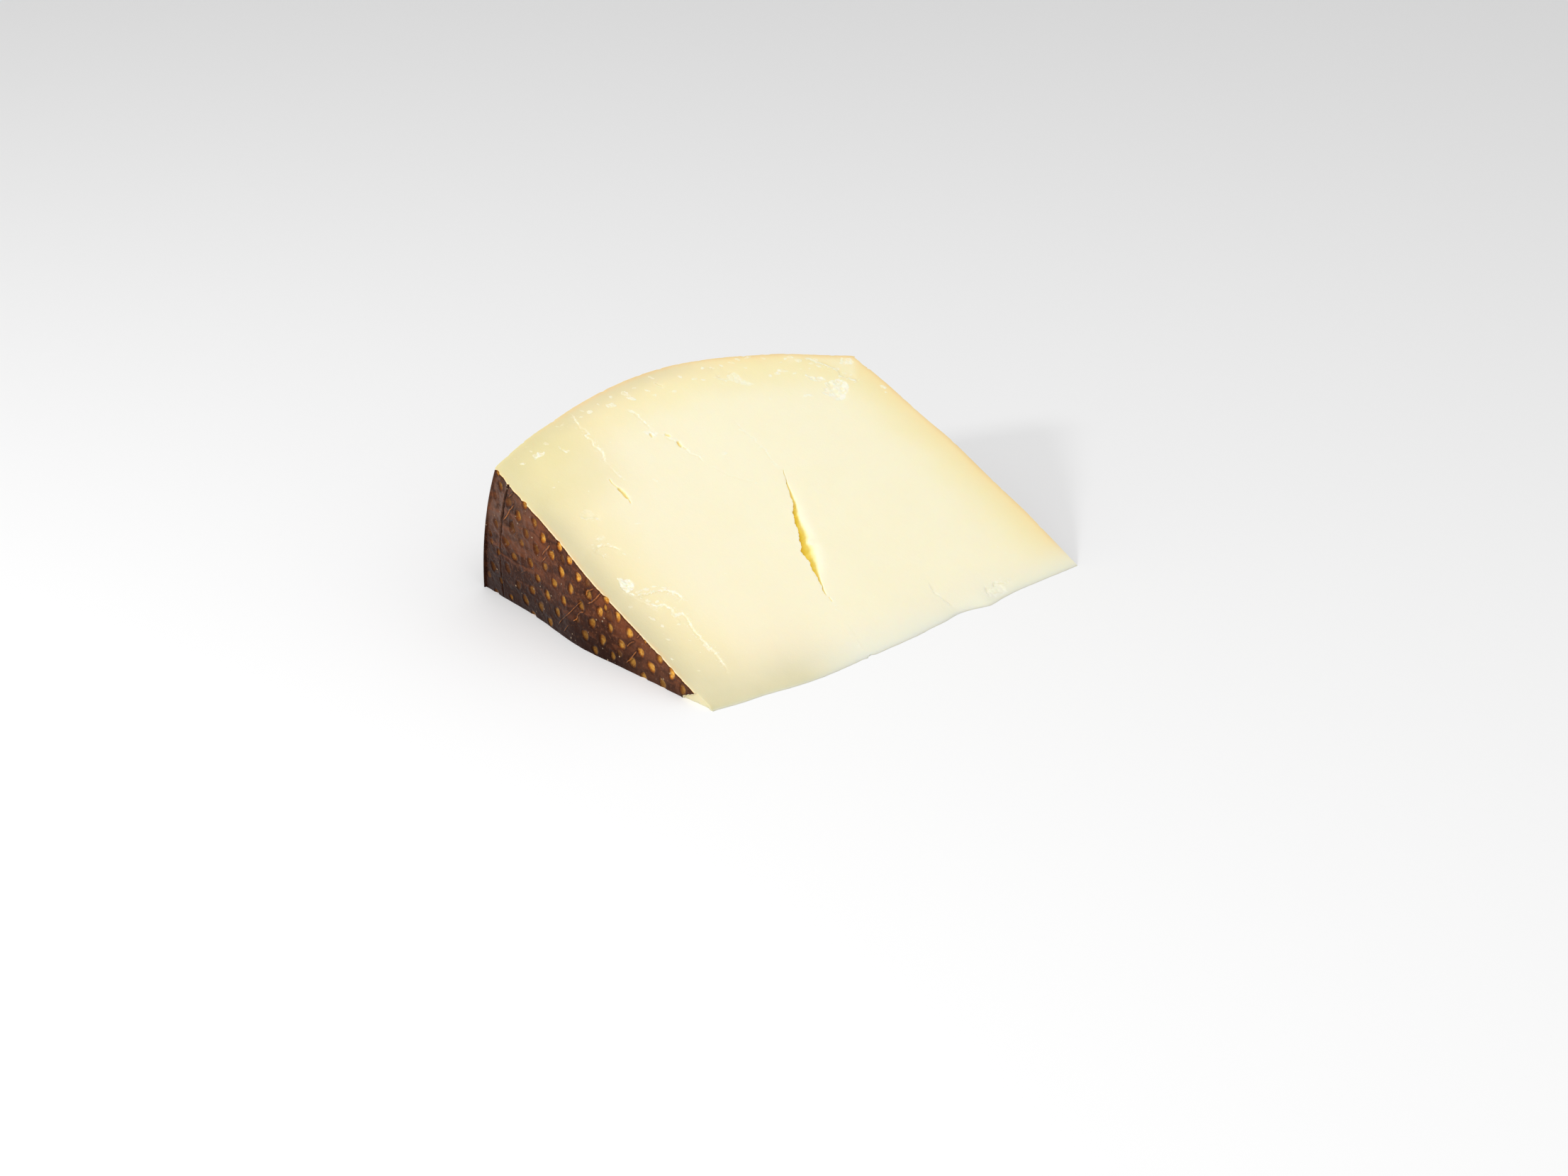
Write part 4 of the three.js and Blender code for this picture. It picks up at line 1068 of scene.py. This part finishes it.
# towards the left cut edge the paste is darker and greyer: partly its own tone by the rind, partly painted shade
tone = mix(tone, LEFT_RIM, np.exp(-((np.maximum(d_left - 0.5, 0) / 6.0) ** 2)))
tone = mix(tone, HEEL_RIM, 0.9 * np.exp(-((np.maximum(d_heel - 0.8, 0) / 3.6) ** 2)) * (1 - ease(58, 84, x)))
tone = mix(tone, RIGHT_RIM, 0.8 * np.exp(-((np.maximum(d_heel, 0) / 3.2) ** 2)) * ease(58, 84, x))
tone = mix(tone, RIGHT_RIM, 0.9 * np.exp(-((np.maximum(d_right, 0) / 4.6) ** 2)))
tone = mix(tone, TAN, 0.75 * np.exp(-((np.maximum(d_heel, 0) / (0.75 + 0.3 * ease(60, 100, x))) ** 2)) * ease(4, 22, x))
tone = mix(tone, TAN, 0.75 * np.exp(-((np.maximum(d_right, 0) / 0.9) ** 2)))
tone = mix(tone, TAN, 0.6 * np.exp(-((np.maximum(d_left, 0) / 0.8) ** 2)) * np.clip(0.7 + 0.8 * N5.many(co / 5.0, 2), 0.1, 1.2))
# painted highlight: a thin bright line on the paste along the left cut edge
tone = mix(tone, srgb(255, 244, 214), 0.9 * np.exp(-((np.maximum(d_left, 0) / 0.17) ** 2)))
tone = mix(tone, srgb(232, 222, 166), 0.55 * ease(58, 72, r_of) * (1 - ease(16, 36, x)))
tone = mix(tone, FRONT, 0.9 * np.exp(-((d_front / 7.0) ** 2)))
tone = mix(tone, srgb(216, 207, 162), 0.9 * np.exp(-((d_front / 9.0) ** 2)) * np.exp(-((np.maximum(d_left, 0) / 9.0) ** 2)))
tone = mix(tone, srgb(214, 204, 158), 0.75 * np.exp(-((d_front / 6.0) ** 2)) * ease(0, 5, x) * (1 - ease(18, 44, x)))
tone = mix(tone, srgb(220, 212, 176), 0.6 * np.exp(-((d_front / 14.0) ** 2)) * ease(0, 6, x) * (1 - ease(22, 44, x)))
tone = mix(tone, srgb(240, 238, 218), 0.5 * np.exp(-((d_front / 8.0) ** 2)) * ease(24, 36, x) * (1 - ease(84, 100, x)))
tone = mix(tone, srgb(255, 247, 208), 0.8 * np.exp(-((d_front / 0.35) ** 2)))
tone = tone * (1 - 0.035 * (1 - ease(20, 60, x))[:, None])
WHITE = srgb(255, 250, 230)
GASH_SHADE = srgb(248, 224, 124)
DEEP_CRACK_SHADE = srgb(253, 226, 92)
# paler paste: the corner slab's own paler paste, paler paste beside the gashes, and painted light on the crack's lips
# and right slope
tone = mix(tone, srgb(255, 248, 223), 0.85 * L["pale"])
# painted shade: golden inside the gashes
tone = mix(tone, GASH_SHADE, 0.75 * L["gold"])
# painted shade: golden inside the crack
tone = mix(tone, DEEP_CRACK_SHADE, L["deep"])

# ------------------------------------------------------------------ the mesh object
mesh = bpy.data.meshes.new("wedge_of_cheese")
verts = (co + SHIFT) * MM
mesh.vertices.add(len(verts))
mesh.vertices.foreach_set("co", verts.astype(np.float32).ravel())
mesh.loops.add(len(tris) * 3)
mesh.loops.foreach_set("vertex_index", tris.astype(np.int32).ravel())
mesh.polygons.add(len(tris))
mesh.polygons.foreach_set("loop_start", np.arange(0, len(tris) * 3, 3, dtype=np.int32))
mesh.update(calc_edges=True)
mesh.validate(verbose=False)

# where the rind has come away by the thin edge, the paste shows
slot = np.where((kind == 1) & (L["torn"][tris].mean(1) < 0), 1, 0)
mesh.polygons.foreach_set("material_index", slot.astype(np.int32))
mesh.polygons.foreach_set("use_smooth", np.ones(len(tris), bool))


def attribute(name, values):
    a = mesh.attributes.new(name, "FLOAT", "POINT")
    a.data.foreach_set("value", np.asarray(values, np.float32))


col = mesh.attributes.new("paste_tone", "FLOAT_COLOR", "POINT")
col.data.foreach_set("color", np.column_stack([tone, np.ones(len(tone))]).astype(np.float32).ravel())
for k in ("line_d", "line_s", "line_w", "chip_d", "chip_w", "dim_d", "dim_tone", "mark", "groove", "cut"):
    attribute("cheese_" + k, L[k])
attribute("cheese_r", r_of)
attribute("cheese_up", np.clip(np.arctan2(z, np.maximum(y, 1e-6)) / ANGLE, 0, 1))
# where the rind gets its painted sheen near the rim
attribute("cheese_rim_sheen", np.clip(ease(61, 73, r_of), 0, 1))

piece = bpy.data.objects.new("cheese_wedge", mesh)
bpy.context.scene.collection.objects.link(piece)
mesh.set_sharp_from_angle(angle=math.radians(50))


# ------------------------------------------------------------------ materials
def nodes_of(name):
    m = bpy.data.materials.new(name)
    m.use_nodes = True
    t = m.node_tree
    t.nodes.clear()
    out = t.nodes.new("ShaderNodeOutputMaterial")
    b = t.nodes.new("ShaderNodeBsdfPrincipled")
    t.links.new(b.outputs[0], out.inputs[0])
    return m, t, b


def node(t, kind, **kw):
    n = t.nodes.new(kind)
    for k, v in kw.items():
        if k in n.inputs.keys() if not k.startswith("_") else False:
            n.inputs[k].default_value = v
        else:
            setattr(n, k.lstrip("_"), v)
    return n


def math_node(t, op, a, b=None, c=None, clamp=False):
    n = t.nodes.new("ShaderNodeMath")
    n.operation = op
    n.use_clamp = clamp
    for i, v in enumerate((a, b, c)):
        if v is None:
            continue
        if isinstance(v, (int, float)):
            n.inputs[i].default_value = v
        else:
            t.links.new(v, n.inputs[i])
    return n.outputs[0]


def ramp(t, v, a, b, smooth=True):
    n = t.nodes.new("ShaderNodeMapRange")
    n.interpolation_type = "SMOOTHSTEP" if smooth else "LINEAR"
    n.inputs["From Min"].default_value = a
    n.inputs["From Max"].default_value = b
    t.links.new(v, n.inputs["Value"])
    return n.outputs["Result"]


def blend(t, f, a, b, how="MIX"):
    n = t.nodes.new("ShaderNodeMix")
    n.data_type = "RGBA"
    n.blend_type = how
    n.clamp_factor = True
    for i, v in ((0, f), (6, a), (7, b)):
        if isinstance(v, (int, float)):
            n.inputs[i].default_value = v
        elif isinstance(v, (tuple, list, np.ndarray)):
            n.inputs[i].default_value = (*[float(q) for q in v], 1.0)
        else:
            t.links.new(v, n.inputs[i])
    return n.outputs[2]


def read(t, name, what="Fac"):
    n = t.nodes.new("ShaderNodeAttribute")
    n.attribute_name = name
    return n.outputs[what]


def noise(t, scale, detail=3.0, rough=0.55, coords=None, distortion=0.0):
    n = t.nodes.new("ShaderNodeTexNoise")
    n.inputs["Scale"].default_value = scale
    n.inputs["Detail"].default_value = detail
    n.inputs["Roughness"].default_value = rough
    n.inputs["Distortion"].default_value = distortion
    t.links.new(coords, n.inputs["Vector"])
    return n.outputs["Fac"]


def minus(t, v, k):
    return math_node(t, "SUBTRACT", v, k)


def times(t, a, k, clamp=False):
    return math_node(t, "MULTIPLY", a, k, clamp=clamp)


def plus(t, a, k):
    return math_node(t, "ADD", a, k)


# paste: pale, waxy and slightly translucent, its torn spots ragged and white
paste, t, b = nodes_of("cheese_paste")
obj = t.nodes.new("ShaderNodeTexCoord").outputs["Object"]
base = read(t, "paste_tone", "Color")
cloud = noise(t, 60, 4, 0.6, obj)
coarse_n = noise(t, 900, 3, 0.6, obj)
grain = noise(t, 2300, 3, 0.6, obj)
fleck = noise(t, 1500, 4, 0.7, obj, 0.6)
wrinkle = noise(t, 620, 4, 0.65, obj, 1.2)
c = blend(t, times(t, ramp(t, cloud, 0.35, 0.7), 0.18), base, tuple(srgb(250, 236, 196)))
ragged = plus(t, times(t, minus(t, coarse_n, 0.5), 1.3), times(t, minus(t, grain, 0.5), 0.9))
line_w = read(t, "cheese_line_w")
reach = read(t, "cheese_line_d")
here = ramp(t, reach, 1.3, 0.7)
sd = plus(t, times(t, reach, read(t, "cheese_line_s")), times(t, ragged, 0.5))
lobes = noise(t, 270, 2, 0.5, obj)
lip = plus(t, times(t, ramp(t, lobes, 0.46, 0.66), 0.85), 0.10)
band = times(t, ramp(t, sd, -0.12, 0.0), ramp(t, minus(t, plus(t, sd, times(t, ragged, 0.7)), lip), 0.08, -0.05))
band = times(t, band, plus(t, times(t, ramp(t, wrinkle, 0.44, 0.58), 0.55), 0.15))
band = times(t, times(t, band, here), math_node(t, "MINIMUM", times(t, line_w, 1.25), 1.0))
broken = plus(t, times(t, ramp(t, noise(t, 420, 2, 0.5, obj), 0.42, 0.56), 0.65), 0.25)
thin = times(t, times(t, ramp(t, minus(t, reach, times(t, ragged, 1.1)), 0.15, 0.03), broken), math_node(t, "MINIMUM", times(t, line_w, 1.15), 1.0))
thin = math_node(t, "MAXIMUM", thin, band)
crumbs = times(t, times(t, ramp(t, fleck, 0.59, 0.63), ramp(t, reach, 2.0, 0.4)), line_w)
shade = times(t, times(t, times(t, ramp(t, sd, 0.10, 0.26), ramp(t, sd, 0.95, 0.3)), line_w), here)
cd = plus(t, read(t, "cheese_chip_d"), times(t, ragged, 0.8))
chip_in = ramp(t, cd, -0.04, 0.06)
chip_lip = times(t, ramp(t, cd, -0.02, 0.05), ramp(t, cd, 0.34, 0.12))
chip_w = read(t, "cheese_chip_w")
body = plus(t, times(t, ramp(t, wrinkle, 0.42, 0.57), 0.72), 0.22)
chip = times(t, times(t, chip_in, chip_w), math_node(t, "MAXIMUM", body, times(t, chip_lip, 0.6)))
white = math_node(t, "MAXIMUM", math_node(t, "MAXIMUM", thin, times(t, crumbs, 0.9)), chip)
white = math_node(t, "MINIMUM", white, 1.0)
c = blend(t, times(t, shade, 0.26), c, tuple(srgb(226, 210, 148)))
c = blend(t, white, c, tuple(WHITE))
vor = t.nodes.new("ShaderNodeTexVoronoi")
vor.feature = "F1"
vor.inputs["Scale"].default_value = 300
t.links.new(obj, vor.inputs["Vector"])
speck = times(t, math_node(t, "LESS_THAN", vor.outputs["Distance"], 0.05), ramp(t, noise(t, 130, 2, 0.5, obj), 0.54, 0.62))
c = blend(t, times(t, speck, 0.6), c, tuple(WHITE))
t.links.new(c, b.inputs["Base Color"])
b.inputs["Subsurface Weight"].default_value = 0.5
b.inputs["Subsurface Radius"].default_value = (1.0, 0.8, 0.5)
b.inputs["Subsurface Scale"].default_value = 0.0012
b.inputs["IOR"].default_value = 1.44
b.inputs["Specular IOR Level"].default_value = 0.4
rough = plus(t, times(t, ramp(t, cloud, 0.3, 0.7), 0.08), 0.38)
rough = plus(t, rough, times(t, white, 0.2))
t.links.new(rough, b.inputs["Roughness"])
relief = plus(t, times(t, coarse_n, 0.03), times(t, grain, 0.015))
relief = plus(t, relief, times(t, chip, times(t, wrinkle, 0.05)))
relief = plus(t, relief, times(t, math_node(t, "MAXIMUM", thin, crumbs), 0.02))
bump = t.nodes.new("ShaderNodeBump")
bump.inputs["Strength"].default_value = 1.0
bump.inputs["Distance"].default_value = 0.001
t.links.new(relief, bump.inputs["Height"])
t.links.new(bump.outputs[0], b.inputs["Normal"])

# rind: dark, glossy and mottled, golden at the bottom of each dimple
rind, t, b = nodes_of("cheese_rind")
obj = t.nodes.new("ShaderNodeTexCoord").outputs["Object"]
dim = read(t, "cheese_dim_d")
dim_tone = read(t, "cheese_dim_tone")
mark = read(t, "cheese_mark")
groove = read(t, "cheese_groove")
cut = read(t, "cheese_cut")
rad = read(t, "cheese_r")
up = read(t, "cheese_up")
rim_sheen = read(t, "cheese_rim_sheen")
big = noise(t, 95, 4, 0.6, obj)
mid_n = noise(t, 420, 4, 0.65, obj)
fine_n = noise(t, 1500, 4, 0.65, obj)
streak = t.nodes.new("ShaderNodeMapping")
streak.inputs["Rotation"].default_value = (math.radians(-38), 0.0, 0.0)
streak.inputs["Scale"].default_value = (1.0, 0.45, 1.5)
t.links.new(obj, streak.inputs["Vector"])
sweep = noise(t, 330, 4, 0.6, streak.outputs[0], 0.4)
# painted light and shade: the rind is painted lighter towards the top of the face, where light falls from above, and
# darker towards the bottom
c = blend(t, ramp(t, up, 0.10, 1.0), tuple(srgb(38, 15, 7)), tuple(srgb(111, 60, 35)))
c = blend(t, times(t, ramp(t, rad, 34, 14), 0.6), c, tuple(srgb(104, 66, 48)))
# painted sheen: a greyish reflection painted on the upper rind near the rim
c = blend(t, times(t, times(t, rim_sheen, ramp(t, up, 0.38, 0.66)), 0.7), c, tuple(srgb(94, 70, 58)))
c = blend(t, times(t, ramp(t, big, 0.46, 0.62), 0.6), c, tuple(srgb(38, 16, 8)))
c = blend(t, times(t, times(t, ramp(t, sweep, 0.50, 0.64), ramp(t, up, 0.0, 0.5)), 0.45), c, tuple(srgb(122, 68, 38)))
c = blend(t, times(t, ramp(t, sweep, 0.48, 0.32), 0.55), c, tuple(srgb(34, 15, 9)))
c = blend(t, times(t, ramp(t, mid_n, 0.52, 0.70), 0.45), c, tuple(srgb(36, 16, 9)))
c = blend(t, times(t, times(t, ramp(t, fine_n, 0.54, 0.68), ramp(t, up, -0.2, 0.6)), 0.45), c, tuple(srgb(134, 88, 60)))
dn = plus(t, dim, plus(t, times(t, minus(t, mid_n, 0.5), 0.8), times(t, minus(t, fine_n, 0.5), 0.5)))
# painted shadow: a dark ring around each dimple
dimple_shadow_ring = times(t, ramp(t, dn, 0.70, 1.0), ramp(t, dn, 1.40, 1.05))
c = blend(t, times(t, dimple_shadow_ring, 0.38), c, tuple(srgb(30, 12, 7)))
inner = ramp(t, dn, 1.10, 0.72)
core = ramp(t, dn, 0.86, 0.46)
gold_edge = blend(t, dim_tone, tuple(srgb(60, 26, 10)), tuple(srgb(156, 84, 26)))
gold_core = blend(t, dim_tone, tuple(srgb(96, 50, 22)), tuple(srgb(244, 178, 70)))
gold_core = blend(t, times(t, ramp(t, noise(t, 900, 3, 0.6, obj), 0.46, 0.60), 0.55), gold_core, gold_edge)
gold_c = blend(t, core, gold_edge, gold_core)
gold_c = blend(t, times(t, ramp(t, up, 0.42, 0.1), 0.45), gold_c, tuple(srgb(122, 88, 36)))
# light mottled spots in the bright dimples: partly their own mottling, partly painted highlight
gold_c = blend(t, times(t, times(t, ramp(t, fine_n, 0.52, 0.66), dim_tone), 0.6), gold_c, tuple(srgb(240, 198, 112)))
gold_c = blend(t, times(t, ramp(t, rad, 56, 71), 0.42), gold_c, tuple(srgb(88, 42, 20)))
c = blend(t, times(t, inner, plus(t, times(t, dim_tone, 0.65), 0.33)), c, gold_c)
scratch = minus(t, mark, times(t, minus(t, fine_n, 0.5), 0.16))
c = blend(t, times(t, times(t, ramp(t, scratch, 0.62, 0.30), ramp(t, mark, 0.14, 0.30)), 0.5), c, tuple(srgb(32, 13, 7)))
c = blend(t, times(t, ramp(t, scratch, 0.13, 0.05), plus(t, times(t, ramp(t, mid_n, 0.40, 0.60), 0.6), 0.32)), c, tuple(srgb(196, 120, 58)))
# painted shade: a near-black line in the crease by the rim
c = blend(t, times(t, groove, 0.9, clamp=True), c, tuple(srgb(14, 8, 6)))
cut_n = plus(t, cut, plus(t, times(t, minus(t, mid_n, 0.5), 0.45), times(t, minus(t, fine_n, 0.5), 0.2)))
c = blend(t, times(t, times(t, ramp(t, cut_n, 0.70, 0.34), plus(t, times(t, inner, -0.8), 1.0)), 0.75), c, tuple(srgb(30, 13, 7)))
c = blend(t, times(t, ramp(t, cut_n, 0.26, 0.15), 0.85), c, tuple(srgb(200, 128, 56)))
# painted highlight: a thin bright line on the rind right at the cut edge
c = blend(t, ramp(t, cut_n, 0.15, 0.07), c, tuple(srgb(250, 224, 166)))
vor = t.nodes.new("ShaderNodeTexVoronoi")
vor.feature = "F1"
vor.inputs["Scale"].default_value = 520
t.links.new(obj, vor.inputs["Vector"])
vd = plus(t, vor.outputs["Distance"], times(t, minus(t, fine_n, 0.5), 0.10))
glint = times(t, ramp(t, vd, 0.145, 0.085), ramp(t, noise(t, 230, 2, 0.5, obj), 0.50, 0.57))
c = blend(t, times(t, glint, 0.75), c, tuple(srgb(186, 160, 132)))
t.links.new(c, b.inputs["Base Color"])
b.inputs["IOR"].default_value = 1.15
b.inputs["Specular IOR Level"].default_value = 0.5
b.inputs["Specular Tint"].default_value = (1.0, 0.82, 0.68, 1.0)
rough = plus(t, times(t, mid_n, 0.22), 0.10)
t.links.new(rough, b.inputs["Roughness"])
relief = plus(t, times(t, mid_n, 0.13), times(t, fine_n, 0.03))
relief = plus(t, relief, times(t, sweep, 0.16))
relief = plus(t, relief, times(t, glint, 0.12))
bump = t.nodes.new("ShaderNodeBump")
bump.inputs["Strength"].default_value = 1.0
bump.inputs["Distance"].default_value = 0.001
t.links.new(relief, bump.inputs["Height"])
t.links.new(bump.outputs[0], b.inputs["Normal"])

mesh.materials.append(paste)
mesh.materials.append(rind)

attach(piece, "root")
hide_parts("wedge")

# ------------------------------------------------------------------ floor, light and camera
floor_mesh = bpy.data.meshes.new("floor")
floor_mesh.from_pydata([(-4, -4, 0), (4, -4, 0), (4, 4, 0), (-4, 4, 0)], [], [(0, 1, 2, 3)])
floor_ob = bpy.data.objects.new("floor", floor_mesh)
bpy.context.scene.collection.objects.link(floor_ob)
fm, t, b = nodes_of("pale_floor")
b.inputs["Base Color"].default_value = (0.9, 0.9, 0.9, 1)
b.inputs["Roughness"].default_value = 0.6
b.inputs["Specular IOR Level"].default_value = 0.2
floor_mesh.materials.append(fm)

scene = bpy.context.scene
world = bpy.data.worlds.new("studio")
world.use_nodes = True
world.node_tree.nodes["Background"].inputs[0].default_value = (1, 1, 1, 1)
world.node_tree.nodes["Background"].inputs[1].default_value = 0.60
scene.world = world


def area(name, at, to, size, watts, colour=(1, 1, 1)):
    d = bpy.data.lights.new(name, "AREA")
    d.shape = "RECTANGLE"
    d.size, d.size_y = size
    d.energy = watts
    d.color = colour
    o = bpy.data.objects.new(name, d)
    o.location = at
    o.rotation_mode = "QUATERNION"
    o.rotation_quaternion = (Vector(to) - Vector(at)).to_track_quat("-Z", "Y")
    scene.collection.objects.link(o)
    return o


area("key", (-0.36, -0.32, 0.95), (0, 0, 0.01), (0.8, 0.6), 4.2)
area("side", (-0.75, 0.12, 0.42), (0, 0, 0.02), (0.15, 0.08), 2.4)

cam_data = bpy.data.cameras.new("camera")
cam = bpy.data.objects.new("camera", cam_data)
scene.collection.objects.link(cam)
scene.camera = cam
cam_data.sensor_fit = "HORIZONTAL"
cam_data.sensor_width = 36.0
cam_data.lens = 68.232
cam_data.clip_start, cam_data.clip_end = 0.01, 50
right = Vector((0.74597, -0.66598, 0.0)).normalized()
forward = Vector((0.60431, 0.67689, -0.42029)).normalized()
upv = right.cross(forward)
place = Vector([float(v) for v in (SPOT + SHIFT) * MM])
cam.matrix_world = Matrix((
    (right.x, upv.x, -forward.x, place.x),
    (right.y, upv.y, -forward.y, place.y),
    (right.z, upv.z, -forward.z, place.z),
    (0, 0, 0, 1),
))

scene.view_settings.view_transform = "Standard"
scene.view_settings.look = "None"
